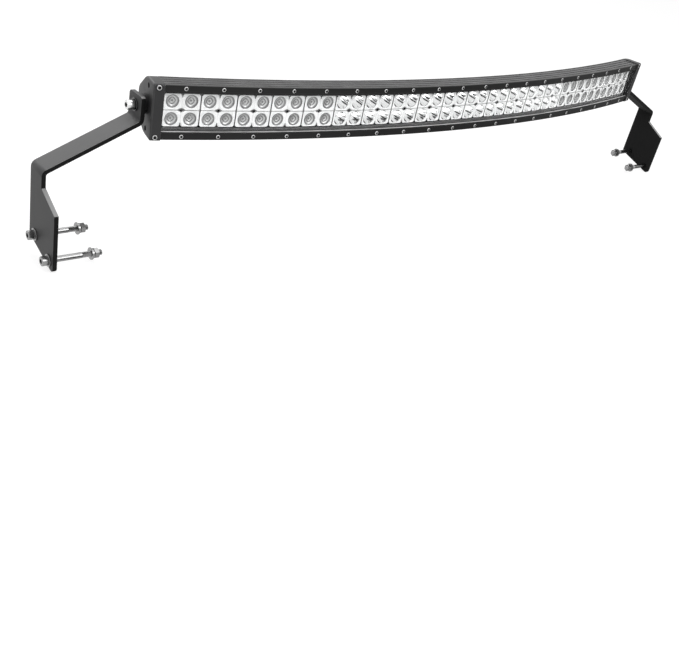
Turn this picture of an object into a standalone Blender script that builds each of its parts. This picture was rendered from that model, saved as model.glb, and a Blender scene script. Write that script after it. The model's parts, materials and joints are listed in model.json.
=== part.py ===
"""Curved double-row LED light bar on a pair of bent strip brackets.

Row frame: metres, +X along the bar to the right, -Y to the front, +Z up.
The origin is midway between the two bracket plates, at the centre of their bolt pairs.
"""

import math

import bmesh
import bpy
from mathutils import Matrix, Vector

MM = 0.001

# Clearances
GAP = 0.3 * MM
BORE_CLEARANCE = 0.3 * MM
HOLE_CLEARANCE = 0.5 * MM

# Curve of the bar and its row of reflector modules
FRONT_RADIUS = 2450 * MM
MODULE_PITCH = 52 * MM
MODULE_COUNT = 20
FLOOD_MODULES_PER_END = 5
MODULE_GAP = 0.8 * MM
END_MARGIN = 2.2 * MM

# Section of the bar
HOUSING_HEIGHT = 74 * MM
HOUSING_DEPTH = 62 * MM
SHOULDER_DEPTH = 33 * MM
BACK_FLAT_HEIGHT = 28 * MM
WALL_THICKNESS = 6 * MM
WEB_THICKNESS = 3.5 * MM
LEDGE_THICKNESS = 1.8 * MM
LEDGE_WIDTH = 7.5 * MM
FIN_COUNT = 7
FIN_PITCH = 8 * MM
FIN_THICKNESS = 2.4 * MM
RIDGE_COUNT = 4
RIDGE_PITCH = 7.5 * MM
RIDGE_FROM_BACK = 4 * MM
GROOVE_WIDTH = 2.5 * MM
GROOVE_DEPTH = 2.6 * MM

# Lens stack at the front of the bar
BEZEL_THICKNESS = 5 * MM
BEZEL_FACE_HEIGHT = 9.9 * MM
BEZEL_CHAMFER = 1.1 * MM
BEZEL_LIP = 1.8 * MM
LENS_THICKNESS = 3 * MM
GASKET_THICKNESS = 1.4 * MM
GASKET_END_WIDTH = 1.2 * MM

# Reflectors and light boards
REFLECTOR_SETBACK = 1.2 * MM
REFLECTOR_CLEARANCE = 0.5 * MM
REFLECTOR_RIM = 0.7 * MM
REFLECTOR_PLATE = 1.5 * MM
REFLECTOR_DEPTH = 16 * MM
CUP_WALL = 1 * MM
CUP_THROAT = 7.6 * MM
FLOOD_CUP_LAND = 5.9 * MM
SPOT_CUP_LAND = 3.8 * MM
CUP_SIDES = 10
BOARD_THICKNESS = 1.6 * MM
EMITTER_SIZE = 4.4 * MM
EMITTER_HEIGHT = 1.2 * MM
EMITTER_ROOT = 0.6 * MM

# End caps
CAP_WIDTH = 15 * MM
CAP_PROUD = 1.5 * MM
CAP_CORNER_RADIUS = 3 * MM
CAP_SHOULDER_RADIUS = 28 * MM
CAP_BACK_RADIUS = 13 * MM
BOSS_DIAMETER = 26 * MM
BOSS_ROOT = 6 * MM
CAP_BORE_DEPTH = 18 * MM
CAP_SCREW_DIAMETER = 6 * MM
CAP_SCREW_DEPTH = 4 * MM
CAP_SCREW_INSET = 8 * MM
CAP_SCREW_SETBACK = 20 * MM

# Cable gland and breather in a pocket milled through the fins
POCKET_FROM_END = 82.2 * MM
POCKET_WIDTH = 64 * MM
POCKET_HEIGHT = 30 * MM
FITTING_SPACING = 30 * MM
GLAND_THREAD = 12 * MM
GLAND_BORE = 6.6 * MM
GLAND_HEX = 17 * MM
GLAND_FLANGE = 5 * MM
GLAND_STUB = 9 * MM
GLAND_NUT_LENGTH = 11 * MM
GLAND_NUT_CROWN = 9.5 * MM
VENT_THREAD = 6 * MM
VENT_HEAD = 13 * MM
VENT_HEAD_HEIGHT = 4 * MM

# Socket-head bolts and their washers and nuts
BOLT_DIAMETER = 8 * MM
BOLT_HEAD = 13 * MM
BOLT_HEAD_HEIGHT = 8 * MM
SOCKET_SIZE = 6 * MM
SOCKET_DEPTH = 4 * MM
WASHER_DIAMETER = 17 * MM
WASHER_THICKNESS = 1.6 * MM
SPRING_WASHER_DIAMETER = 14.2 * MM
SPRING_WASHER_THICKNESS = 2.1 * MM
SPRING_WASHER_SPLIT = 1.2 * MM
NUT_SIZE = 13 * MM
NUT_HEIGHT = 6.5 * MM
MOUNT_BOLT_LENGTH = 75 * MM
PIVOT_BOLT_LENGTH = 25 * MM
ROUND_SIDES = 16

# Bent strip brackets
STRIP_WIDTH = 34 * MM
STRIP_THICKNESS = 6 * MM
STRIP_BEND_RADIUS = 4 * MM
TAB_CLEARANCE = 1 * MM
TAB_ABOVE_PIVOT = 15 * MM
TAB_BELOW_PIVOT = 17 * MM
TAB_CORNER_RADIUS = 5 * MM
ARM_LENGTH = 142 * MM
ARM_SLOPE = math.radians(24)
PLATE_WIDTH = 75 * MM
NECK_LENGTH = 22 * MM
FLARE_DROP = 20 * MM
PLATE_FRONT_EDGE = 124 * MM
PLATE_REAR_EDGE = 102 * MM
PLATE_CORNER_RADIUS = 5 * MM
FLARE_RADIUS = 3 * MM
REAR_HOLE_INSET = 18 * MM
REAR_HOLE_DROP = 95 * MM
FRONT_HOLE_INSET = 13 * MM
FRONT_HOLE_DROP = 110 * MM
CLAMPED_TUBE = 51 * MM
CUT_MARGIN = 2 * MM
ARC_STEPS = 4

# Heights of the lens, the window and what lies behind it, inward from the housing's walls
LENS_HEIGHT = HOUSING_HEIGHT - 2 * (WALL_THICKNESS + GAP)
WINDOW_HEIGHT = LENS_HEIGHT - 2 * LEDGE_WIDTH
REFLECTOR_HEIGHT = WINDOW_HEIGHT - 2 * REFLECTOR_CLEARANCE
BOARD_HEIGHT = REFLECTOR_HEIGHT - 2 * REFLECTOR_RIM

# Cups, two along each module and two up
CUP_PITCH = MODULE_PITCH / 2
SPOT_CUP_MOUTH = (REFLECTOR_HEIGHT - SPOT_CUP_LAND) / 2 - REFLECTOR_RIM
CUP_ROW_PITCH = SPOT_CUP_MOUTH + SPOT_CUP_LAND
FLOOD_CUP_MOUTH = CUP_ROW_PITCH - FLOOD_CUP_LAND

# Depths behind the bezel's front face
LENS_FRONT = BEZEL_THICKNESS + GAP
GASKET_FRONT = LENS_FRONT + LENS_THICKNESS + GAP
SEAT = GASKET_FRONT + GASKET_THICKNESS + GAP
REFLECTOR_FRONT = SEAT + REFLECTOR_SETBACK
BOARD_FRONT = REFLECTOR_FRONT + REFLECTOR_DEPTH + GAP
WEB_FRONT = BOARD_FRONT + BOARD_THICKNESS + GAP
WEB_BACK = WEB_FRONT + WEB_THICKNESS

# Ends of the bar
MODULE_HALF_LENGTH = MODULE_COUNT * MODULE_PITCH / 2
HALF_LENGTH = MODULE_HALF_LENGTH + END_MARGIN
END_ANGLE = HALF_LENGTH / FRONT_RADIUS
POCKET_POSITION = HALF_LENGTH - POCKET_FROM_END
CAP_DEPTH = HOUSING_DEPTH + 2 * CAP_PROUD
PIVOT_DEPTH = CAP_DEPTH / 2 - CAP_PROUD
CAP_REACH = GAP + CAP_WIDTH
CAP_FRONT_RADIUS = FRONT_RADIUS + CAP_PROUD
PIVOT_SETBACK = (FRONT_RADIUS - (FRONT_RADIUS - PIVOT_DEPTH) * math.cos(END_ANGLE)
                 + CAP_REACH * math.sin(END_ANGLE))
CAP_OUTERMOST = CAP_FRONT_RADIUS * math.sin(END_ANGLE) + CAP_REACH * math.cos(END_ANGLE)
CAP_FACE_AT_PIVOT = CAP_OUTERMOST - (PIVOT_DEPTH + CAP_PROUD) * math.sin(END_ANGLE)

# Places along X on the brackets
TAB_INNER = CAP_OUTERMOST + TAB_CLEARANCE
TAB_OUTER = TAB_INNER + STRIP_THICKNESS
PLATE_OUTER = TAB_OUTER + ARM_LENGTH * math.cos(ARM_SLOPE)
PLATE_INNER = PLATE_OUTER - STRIP_THICKNESS

# Places on the brackets in Y and Z, measured from the pivot
PLATE_TOP = -TAB_BELOW_PIVOT - ARM_LENGTH * math.sin(ARM_SLOPE)
REAR_EDGE = STRIP_WIDTH / 2
FRONT_EDGE = REAR_EDGE - PLATE_WIDTH
MOUNT_HOLES = {
    "rear": (REAR_EDGE - REAR_HOLE_INSET, PLATE_TOP - REAR_HOLE_DROP),
    "front": (FRONT_EDGE + FRONT_HOLE_INSET, PLATE_TOP - FRONT_HOLE_DROP),
}
MOUNT_CENTRE_Y = sum(y for y, z in MOUNT_HOLES.values()) / len(MOUNT_HOLES)
MOUNT_CENTRE_Z = sum(z for y, z in MOUNT_HOLES.values()) / len(MOUNT_HOLES)

SIDES = {"left": -1, "right": 1}


def start_scene():
    """Empty the scene and make the two collections."""
    for obj in list(bpy.data.objects):
        bpy.data.objects.remove(obj)
    collections = []
    for name in ("led_light_bar", "cutters"):
        collection = bpy.data.collections.new(name)
        bpy.context.scene.collection.children.link(collection)
        collections.append(collection)
    return collections


PARTS, CUTTERS = start_scene()


def empty_at(name, place):
    """An empty that carries pieces at one place in the row frame."""
    empty = bpy.data.objects.new(name, None)
    empty.location = place
    PARTS.objects.link(empty)
    return empty


def finish(name, colour, roughness, metallic):
    """A Principled material of one colour."""
    material = bpy.data.materials.new(name)
    material.use_nodes = True
    shader = material.node_tree.nodes["Principled BSDF"]
    shader.inputs["Base Color"].default_value = (*colour, 1.0)
    shader.inputs["Roughness"].default_value = roughness
    shader.inputs["Metallic"].default_value = metallic
    return material


PIVOT = empty_at("pivot_axis", (0.0, -MOUNT_CENTRE_Y, -MOUNT_CENTRE_Z))

BLACK_EXTRUSION = finish("black_extrusion", (0.022, 0.022, 0.024), 0.42, 0.6)
BLACK_CASTING = finish("black_casting", (0.03, 0.03, 0.032), 0.5, 0.4)
BLACK_POWDER_COAT = finish("black_powder_coat", (0.035, 0.035, 0.037), 0.48, 0.1)
CLEAR_LENS = finish("clear_polycarbonate", (0.9, 0.92, 0.93), 0.04, 0.0)
BLACK_RUBBER = finish("black_rubber", (0.02, 0.02, 0.02), 0.8, 0.0)
CHROMED_REFLECTOR = finish("chromed_reflector", (0.82, 0.83, 0.84), 0.12, 1.0)
WHITE_BOARD = finish("white_board", (0.8, 0.8, 0.76), 0.55, 0.0)
BLACK_NYLON = finish("black_nylon", (0.025, 0.025, 0.026), 0.55, 0.0)
ZINC_STEEL = finish("zinc_steel", (0.62, 0.63, 0.64), 0.28, 1.0)


def smooth(mesh):
    """Smooth shading with crisp edges at the corners."""
    mesh.shade_smooth()
    mesh.set_sharp_from_angle(angle=math.radians(35))


def add_part(name, mesh, material, location=(0, 0, 0), rotation=(0, 0, 0)):
    """A named piece, placed from the pivot."""
    mesh.materials.clear()
    mesh.materials.append(material)
    smooth(mesh)
    obj = bpy.data.objects.new(name, mesh)
    obj.parent = PIVOT
    obj.location = location
    obj.rotation_euler = rotation
    PARTS.objects.link(obj)
    return obj


def carve(mesh, tool, operation):
    """Apply one exact Boolean to a mesh and return the new mesh."""
    target = bpy.data.objects.new("target", mesh)
    other = bpy.data.objects.new("tool", tool)
    for obj in (target, other):
        CUTTERS.objects.link(obj)
    modifier = target.modifiers.new("carve", "BOOLEAN")
    modifier.operation = operation
    modifier.object = other
    depsgraph = bpy.context.evaluated_depsgraph_get()
    result = bpy.data.meshes.new_from_object(target.evaluated_get(depsgraph))
    for obj in (target, other):
        bpy.data.objects.remove(obj)
    return result


def mesh_from(name, build):
    """A mesh filled by a function that works on a bmesh."""
    bm = bmesh.new()
    build(bm)
    mesh = bpy.data.meshes.new(name)
    bm.to_mesh(mesh)
    bm.free()
    return mesh


def merged(name, meshes):
    """Several meshes gathered into one."""
    def gather(bm):
        for mesh in meshes:
            bm.from_mesh(mesh)
    return mesh_from(name, gather)


def box(size, centre=(0, 0, 0)):
    """A box of a size about a centre."""
    def build(bm):
        matrix = Matrix.Translation(centre) @ Matrix.Diagonal((*size, 1))
        bmesh.ops.create_cube(bm, size=1, matrix=matrix)
    return mesh_from("box", build)


def cone(low_diameter, high_diameter, low, high, sides=ROUND_SIDES):
    """A cylinder or cone on local Z between two heights."""
    def build(bm):
        bmesh.ops.create_cone(
            bm, cap_ends=True, segments=sides, radius1=low_diameter / 2, radius2=high_diameter / 2,
            depth=high - low, matrix=Matrix.Translation((0, 0, (low + high) / 2)))
    return mesh_from("cone", build)


def hex_prism(across_flats, low, high):
    """A six-sided prism on local Z, sized across its flats."""
    diameter = across_flats / math.cos(math.pi / 6)
    return cone(diameter, diameter, low, high, sides=6)


def turned(profile, closed=False):
    """A turned shape on local Z; the profile runs down its outer side."""
    def build(bm):
        verts = [bm.verts.new((radius, 0, height)) for radius, height in profile]
        for first, second in zip(verts, verts[1:]):
            bm.edges.new((first, second))
        if closed:
            bm.edges.new((verts[-1], verts[0]))
    source = bpy.data.objects.new("turned", mesh_from("profile", build))
    CUTTERS.objects.link(source)
    screw = source.modifiers.new("turn", "SCREW")
    screw.steps = ROUND_SIDES
    screw.render_steps = ROUND_SIDES
    screw.use_merge_vertices = True
    screw.merge_threshold = 0.01 * MM
    depsgraph = bpy.context.evaluated_depsgraph_get()
    mesh = bpy.data.meshes.new_from_object(source.evaluated_get(depsgraph))
    bpy.data.objects.remove(source)
    return mesh


def ring(outer, inner, low, high):
    """A flat ring on local Z."""
    return turned([(outer / 2, high), (outer / 2, low), (inner / 2, low), (inner / 2, high)], True)


def rounded(corners):
    """Outline points of a polygon whose corners (x, y, radius) are rounded by arcs."""
    points = []
    for index, (x, y, radius) in enumerate(corners):
        here = Vector((x, y))
        before = Vector(corners[index - 1][:2]) - here
        after = Vector(corners[(index + 1) % len(corners)][:2]) - here
        if radius == 0:
            points.append(here)
            continue
        half_angle = before.angle(after) / 2
        reach = min(radius / math.tan(half_angle), before.length / 2, after.length / 2)
        radius = reach * math.tan(half_angle)
        bisector = (before.normalized() + after.normalized()).normalized()
        centre = here + bisector * radius / math.sin(half_angle)
        start = here + before.normalized() * reach - centre
        turn = math.pi - 2 * half_angle
        if before.cross(after) > 0:
            turn = -turn
        for step in range(ARC_STEPS + 1):
            points.append(centre + Matrix.Rotation(turn * step / ARC_STEPS, 2) @ start)
    return points


def prism(outline, thickness, matrix):
    """A flat outline given a thickness, moved from its local XY plane by a matrix."""
    curve = bpy.data.curves.new("outline", "CURVE")
    curve.dimensions = "2D"
    curve.fill_mode = "BOTH"
    curve.extrude = thickness / 2
    spline = curve.splines.new("POLY")
    spline.points.add(len(outline) - 1)
    for point, (x, y) in zip(spline.points, outline):
        point.co = (x, y, 0, 1)
    spline.use_cyclic_u = True
    source = bpy.data.objects.new("outline", curve)
    CUTTERS.objects.link(source)
    depsgraph = bpy.context.evaluated_depsgraph_get()
    mesh = bpy.data.meshes.new_from_object(source.evaluated_get(depsgraph))
    bpy.data.objects.remove(source)
    bm = bmesh.new()
    bm.from_mesh(mesh)
    bmesh.ops.remove_doubles(bm, verts=bm.verts, dist=0.001 * MM)
    bm.to_mesh(mesh)
    bm.free()
    mesh.transform(matrix)
    return mesh


def axes(x_axis, y_axis, z_axis, origin=(0, 0, 0)):
    """A matrix from three axis directions and an origin."""
    matrix = Matrix((x_axis, y_axis, z_axis)).transposed().to_4x4()
    matrix.translation = origin
    return matrix


def mirrored(mesh):
    """The mirror image of a mesh across the plane X = 0."""
    copy = mesh.copy()
    copy.transform(Matrix.Scale(-1, 4, (1, 0, 0)))
    copy.flip_normals()
    return copy


def section_matrix(angle, depth=0.0):
    """Axes at an angle round the bar: along the bar, to the back, and up."""
    along = Vector((math.cos(angle), math.sin(angle), 0))
    back = Vector((-math.sin(angle), math.cos(angle), 0))
    centre = Vector((0, FRONT_RADIUS - PIVOT_SETBACK, 0))
    return axes(along, back, Vector((0, 0, 1)), centre - back * (FRONT_RADIUS - depth))


def swept(name, section, start, end, steps):
    """A section of (depth, height) points swept round the bar between two places along it."""
    def build(bm):
        matrix = section_matrix(start / FRONT_RADIUS)
        face = bm.faces.new([bm.verts.new(matrix @ Vector((0, n, z))) for n, z in section])
        bmesh.ops.spin(
            bm, geom=[face, *face.edges, *face.verts], cent=(0, FRONT_RADIUS - PIVOT_SETBACK, 0),
            axis=(0, 0, 1), angle=(end - start) / FRONT_RADIUS, steps=steps)
        bmesh.ops.recalc_face_normals(bm, faces=bm.faces)
    return mesh_from(name, build)


def rectangle(front, back, low, high):
    """Section points of a rectangle in depth and height."""
    return [(front, low), (back, low), (back, high), (front, high)]


def envelope(height):
    """Depth of the fin tips at a height."""
    slope = (HOUSING_DEPTH - SHOULDER_DEPTH) / (HOUSING_HEIGHT / 2 - BACK_FLAT_HEIGHT / 2)
    return HOUSING_DEPTH - max(0.0, abs(height) - BACK_FLAT_HEIGHT / 2) * slope


def housing_section():
    """Outline of the extrusion: lens seat, ribbed wall, web and fins."""
    top = HOUSING_HEIGHT / 2
    pocket = LENS_HEIGHT / 2 + GAP
    window = WINDOW_HEIGHT / 2
    wall = [(WEB_FRONT, pocket), (SEAT + LEDGE_THICKNESS, pocket), (SEAT + LEDGE_THICKNESS, window),
            (SEAT, window), (SEAT, pocket), (LENS_FRONT, pocket), (LENS_FRONT, top)]
    for ridge in range(RIDGE_COUNT):
        groove = SHOULDER_DEPTH - RIDGE_FROM_BACK - (RIDGE_COUNT - 1 - ridge) * RIDGE_PITCH
        wall += [(groove, top), (groove, top - GROOVE_DEPTH),
                 (groove + GROOVE_WIDTH, top - GROOVE_DEPTH), (groove + GROOVE_WIDTH, top)]
    slope = (HOUSING_DEPTH - SHOULDER_DEPTH) / (top - BACK_FLAT_HEIGHT / 2)
    wall += [(SHOULDER_DEPTH, top), (WEB_BACK, top - (WEB_BACK - SHOULDER_DEPTH) / slope)]
    fins = []
    for fin in range(FIN_COUNT):
        height = ((FIN_COUNT - 1) / 2 - fin) * FIN_PITCH
        upper = height + FIN_THICKNESS / 2
        lower = height - FIN_THICKNESS / 2
        fins += [(WEB_BACK, upper), (envelope(upper), upper), (envelope(lower), lower), (WEB_BACK, lower)]
    return wall + fins + [(depth, -height) for depth, height in reversed(wall)]


def fitting_places():
    """Axes of the gland and the breather: local Z points to the back from the web's face."""
    middle = POCKET_POSITION / FRONT_RADIUS
    half_step = FITTING_SPACING / 2 / FRONT_RADIUS
    turn = Matrix.Rotation(-math.pi / 2, 4, "X")
    return [section_matrix(middle + side * half_step, WEB_BACK) @ turn for side in (-1, 1)]


def add_housing():
    """The finned extrusion, with a milled pocket and two bores for the fittings."""
    housing = swept("housing", housing_section(), -HALF_LENGTH, HALF_LENGTH, MODULE_COUNT)
    clear = HOUSING_DEPTH - WEB_BACK
    pocket = box((POCKET_WIDTH, clear, POCKET_HEIGHT), (0, clear / 2 + GAP, 0))
    pocket.transform(section_matrix(POCKET_POSITION / FRONT_RADIUS, WEB_BACK))
    housing = carve(housing, pocket, "DIFFERENCE")
    for place, thread in zip(fitting_places(), (GLAND_THREAD, VENT_THREAD)):
        bore_diameter = thread + 2 * BORE_CLEARANCE
        bore = cone(bore_diameter, bore_diameter, -WEB_THICKNESS - CUT_MARGIN, CUT_MARGIN)
        bore.transform(place)
        housing = carve(housing, bore, "DIFFERENCE")
    add_part("housing", housing, BLACK_EXTRUSION)


def add_fittings():
    """The cable gland with its crown nut, and the breather plug."""
    gland_place, vent_place = fitting_places()
    seat = 2 * GAP
    gland = hex_prism(GLAND_HEX, seat, seat + GLAND_FLANGE)
    stem = cone(GLAND_THREAD, GLAND_THREAD, -WEB_THICKNESS, seat + GLAND_FLANGE + GLAND_STUB)
    gland = carve(gland, stem, "UNION")
    bore = cone(GLAND_BORE, GLAND_BORE, -WEB_THICKNESS - CUT_MARGIN, WEB_BACK)
    gland = carve(gland, bore, "DIFFERENCE")
    gland.transform(gland_place)
    add_part("cable_gland", gland, BLACK_NYLON)

    base = seat + GLAND_FLANGE + GAP
    top = base + GLAND_NUT_LENGTH
    inside = GLAND_THREAD / 2 + BORE_CLEARANCE
    nut = hex_prism(GLAND_HEX, base, base + GLAND_STUB)
    crown = turned([(0, top), (GLAND_NUT_CROWN / 2, top), (GLAND_HEX / 2, base + GLAND_STUB - CUT_MARGIN),
                    (0, base + GLAND_STUB - CUT_MARGIN)])
    nut = carve(nut, crown, "UNION")
    cavity = turned([(0, top + CUT_MARGIN), (GLAND_BORE / 2, top + CUT_MARGIN),
                     (GLAND_BORE / 2, base + GLAND_STUB + GAP), (inside, base + GLAND_STUB + GAP),
                     (inside, base - CUT_MARGIN), (0, base - CUT_MARGIN)])
    nut = carve(nut, cavity, "DIFFERENCE")
    nut.transform(gland_place)
    add_part("gland_nut", nut, BLACK_NYLON)

    vent = turned([(0, seat + VENT_HEAD_HEIGHT), (VENT_HEAD / 2, seat + VENT_HEAD_HEIGHT), (VENT_HEAD / 2, seat),
                   (VENT_THREAD / 2, seat), (VENT_THREAD / 2, -WEB_THICKNESS), (0, -WEB_THICKNESS)])
    vent.transform(vent_place)
    add_part("breather_vent", vent, BLACK_NYLON)


def add_lens_stack():
    """The lens, the gasket behind it and the two strips that clamp it."""
    reach = HALF_LENGTH - GAP
    half_lens = LENS_HEIGHT / 2
    half_window = WINDOW_HEIGHT / 2
    lens = swept("lens", rectangle(LENS_FRONT, LENS_FRONT + LENS_THICKNESS, -half_lens, half_lens),
                 -reach, reach, MODULE_COUNT)
    add_part("lens", lens, CLEAR_LENS)

    gasket = swept("lens_gasket", rectangle(GASKET_FRONT, GASKET_FRONT + GASKET_THICKNESS, -half_lens, half_lens),
                   -reach, reach, MODULE_COUNT)
    opening = swept("opening", rectangle(LENS_FRONT, SEAT + CUT_MARGIN, -half_window, half_window),
                    GASKET_END_WIDTH - reach, reach - GASKET_END_WIDTH, MODULE_COUNT)
    add_part("lens_gasket", carve(gasket, opening, "DIFFERENCE"), BLACK_RUBBER)

    outer = HOUSING_HEIGHT / 2
    inner_face = outer - BEZEL_FACE_HEIGHT
    inner_edge = inner_face - BEZEL_CHAMFER
    strip = [(0, outer), (0, inner_face), (BEZEL_THICKNESS - BEZEL_LIP, inner_edge),
             (BEZEL_THICKNESS, inner_edge), (BEZEL_THICKNESS, outer)]
    for name, up in (("bezel_top", 1), ("bezel_bottom", -1)):
        section = [(depth, up * height) for depth, height in strip]
        add_part(name, swept(name, section, -reach, reach, MODULE_COUNT), BLACK_EXTRUSION)


def module_angle(index):
    """Angle round the bar of one reflector module."""
    return (index - (MODULE_COUNT - 1) / 2) * MODULE_PITCH / FRONT_RADIUS


def cup_centres():
    """Places of a module's four cups, along the bar and up."""
    return [(x * CUP_PITCH / 2, z * CUP_ROW_PITCH / 2) for x in (-1, 1) for z in (-1, 1)]


def reflector_mesh(mouth):
    """A module of four cups behind one plate; its front face lies on local Y = 0."""
    plate = box((MODULE_PITCH - MODULE_GAP, REFLECTOR_PLATE, REFLECTOR_HEIGHT), (0, REFLECTOR_PLATE / 2, 0))
    turn = Matrix.Rotation(-math.pi / 2, 4, "X")
    taper = (mouth - CUP_THROAT) / REFLECTOR_DEPTH
    shells = []
    hollows = []
    for x, z in cup_centres():
        place = Matrix.Translation((x, 0, z)) @ turn
        shell = cone(mouth + 2 * CUP_WALL - taper * REFLECTOR_PLATE / 2, CUP_THROAT + 2 * CUP_WALL,
                     REFLECTOR_PLATE / 2, REFLECTOR_DEPTH, CUP_SIDES)
        hollow = cone(mouth + taper * CUT_MARGIN, CUP_THROAT - taper * CUT_MARGIN,
                      -CUT_MARGIN, REFLECTOR_DEPTH + CUT_MARGIN, CUP_SIDES)
        shell.transform(place)
        hollow.transform(place)
        shells.append(shell)
        hollows.append(hollow)
    module = carve(plate, merged("shells", shells), "UNION")
    return carve(module, merged("hollows", hollows), "DIFFERENCE")


def add_reflectors():
    """The row of reflector modules, flood cups at both ends and spot cups between."""
    flood = reflector_mesh(FLOOD_CUP_MOUTH)
    spot = reflector_mesh(SPOT_CUP_MOUTH)
    for index in range(MODULE_COUNT):
        from_end = min(index, MODULE_COUNT - 1 - index)
        mesh = flood if from_end < FLOOD_MODULES_PER_END else spot
        angle = module_angle(index)
        place = section_matrix(angle, REFLECTOR_FRONT).translation
        add_part(f"reflector_{index + 1:02d}", mesh, CHROMED_REFLECTOR, place, (0, 0, angle))


def add_light_boards():
    """Two curved boards with an emitter behind every cup."""
    half = MODULE_COUNT // 2
    section = rectangle(BOARD_FRONT, BOARD_FRONT + BOARD_THICKNESS, -BOARD_HEIGHT / 2, BOARD_HEIGHT / 2)
    spans = {"light_board_left": (-MODULE_HALF_LENGTH, -GAP, 0, half),
             "light_board_right": (GAP, MODULE_HALF_LENGTH, half, MODULE_COUNT)}
    depth = EMITTER_HEIGHT + EMITTER_ROOT
    for name, (start, end, first, last) in spans.items():
        board = swept(name, section, start, end, last - first)
        emitters = []
        for index in range(first, last):
            for x, z in cup_centres():
                emitter = box((EMITTER_SIZE, depth, EMITTER_SIZE), (x, EMITTER_ROOT - depth / 2, z))
                emitter.transform(section_matrix(module_angle(index), BOARD_FRONT))
                emitters.append(emitter)
        add_part(name, carve(board, merged("emitters", emitters), "UNION"), WHITE_BOARD)


def cap_outline():
    """Outline of an end cap in depth and height."""
    top = HOUSING_HEIGHT / 2 + CAP_PROUD
    back = HOUSING_DEPTH + CAP_PROUD
    flat = BACK_FLAT_HEIGHT / 2
    upper = [(-CAP_PROUD, top, CAP_CORNER_RADIUS), (SHOULDER_DEPTH, top, CAP_SHOULDER_RADIUS),
             (back, flat, CAP_BACK_RADIUS)]
    return rounded([(n, -z, r) for n, z, r in upper] + list(reversed(upper)))


def along_x(start, end, diameter, y=0.0, z=0.0):
    """A cylinder along X between two places."""
    mesh = cone(diameter, diameter, start, end)
    mesh.transform(Matrix.Translation((0, y, z)) @ Matrix.Rotation(math.pi / 2, 4, "Y"))
    return mesh


def end_cap_mesh():
    """The right end cap: a cast plate with a square-faced boss round the pivot bolt."""
    end = section_matrix(END_ANGLE)
    along, back, up = (end.col[column].to_3d() for column in range(3))
    origin = end.translation + along * (GAP + CAP_WIDTH / 2)
    cap = prism(cap_outline(), CAP_WIDTH, axes(back, up, along, origin))
    boss_face = TAB_INNER - GAP
    boss = along_x(CAP_FACE_AT_PIVOT - BOSS_ROOT, boss_face, BOSS_DIAMETER)
    cap = carve(cap, boss, "UNION")
    bore = along_x(boss_face - CAP_BORE_DEPTH, boss_face + CUT_MARGIN, BOLT_DIAMETER + 2 * BORE_CLEARANCE)
    cap = carve(cap, bore, "DIFFERENCE")
    for side in (-1, 1):
        hole = cone(CAP_SCREW_DIAMETER, CAP_SCREW_DIAMETER, CAP_WIDTH / 2 - CAP_SCREW_DEPTH,
                    CAP_WIDTH / 2 + CUT_MARGIN)
        height = side * (HOUSING_HEIGHT / 2 - CAP_SCREW_INSET)
        place = origin + back * CAP_SCREW_SETBACK + up * height
        hole.transform(axes(back, up, along, place))
        cap = carve(cap, hole, "DIFFERENCE")
    return cap


def bent_strip():
    """Side view of the right bracket's strip, extruded to the plate's full width."""
    upper = [Vector((TAB_OUTER, TAB_ABOVE_PIVOT)), Vector((TAB_OUTER, -TAB_BELOW_PIVOT)),
             Vector((PLATE_OUTER, PLATE_TOP)), Vector((PLATE_OUTER, PLATE_TOP - PLATE_FRONT_EDGE))]
    arm = (upper[2] - upper[1]).normalized()
    arm_normal = Vector((arm.y, -arm.x))
    side = Vector((-1, 0))
    miter = (side + arm_normal) / (1 + side.dot(arm_normal))
    offsets = [side, miter, miter, side]
    lower = [point + offset * STRIP_THICKNESS for point, offset in zip(upper, offsets)]
    inside = STRIP_BEND_RADIUS
    outside = STRIP_BEND_RADIUS + STRIP_THICKNESS
    upper_radii = (0, inside, outside, 0)
    lower_radii = (0, outside, inside, 0)
    corners = [(*point, radius) for point, radius in zip(upper, upper_radii)]
    corners += reversed([(*point, radius) for point, radius in zip(lower, lower_radii)])
    width = PLATE_WIDTH + 2 * CUT_MARGIN
    origin = (0, REAR_EDGE - PLATE_WIDTH / 2, 0)
    return prism(rounded(corners), width, axes((1, 0, 0), (0, 0, 1), (0, -1, 0), origin))


def strip_blank():
    """End view of a bracket: the strip, then the plate that flares to the front."""
    flare_top = PLATE_TOP - NECK_LENGTH
    corners = [
        (REAR_EDGE, TAB_ABOVE_PIVOT, TAB_CORNER_RADIUS),
        (-REAR_EDGE, TAB_ABOVE_PIVOT, TAB_CORNER_RADIUS),
        (-REAR_EDGE, flare_top, FLARE_RADIUS),
        (FRONT_EDGE, flare_top - FLARE_DROP, FLARE_RADIUS),
        (FRONT_EDGE, PLATE_TOP - PLATE_FRONT_EDGE, PLATE_CORNER_RADIUS),
        (REAR_EDGE, PLATE_TOP - PLATE_REAR_EDGE, PLATE_CORNER_RADIUS),
    ]
    length = PLATE_OUTER - TAB_INNER + 2 * CUT_MARGIN
    origin = ((PLATE_OUTER + TAB_INNER) / 2, 0, 0)
    return prism(rounded(corners), length, axes((0, 1, 0), (0, 0, 1), (1, 0, 0), origin))


def bracket_mesh():
    """The right bracket: one bent strip with its pivot hole and two mounting holes."""
    bracket = carve(bent_strip(), strip_blank(), "INTERSECT")
    hole = BOLT_DIAMETER + 2 * HOLE_CLEARANCE
    pivot_hole = along_x(TAB_INNER - CUT_MARGIN, TAB_OUTER + CUT_MARGIN, hole)
    bracket = carve(bracket, pivot_hole, "DIFFERENCE")
    for y, z in MOUNT_HOLES.values():
        mount_hole = along_x(PLATE_INNER - CUT_MARGIN, PLATE_OUTER + CUT_MARGIN, hole, y, z)
        bracket = carve(bracket, mount_hole, "DIFFERENCE")
    return bracket


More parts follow.
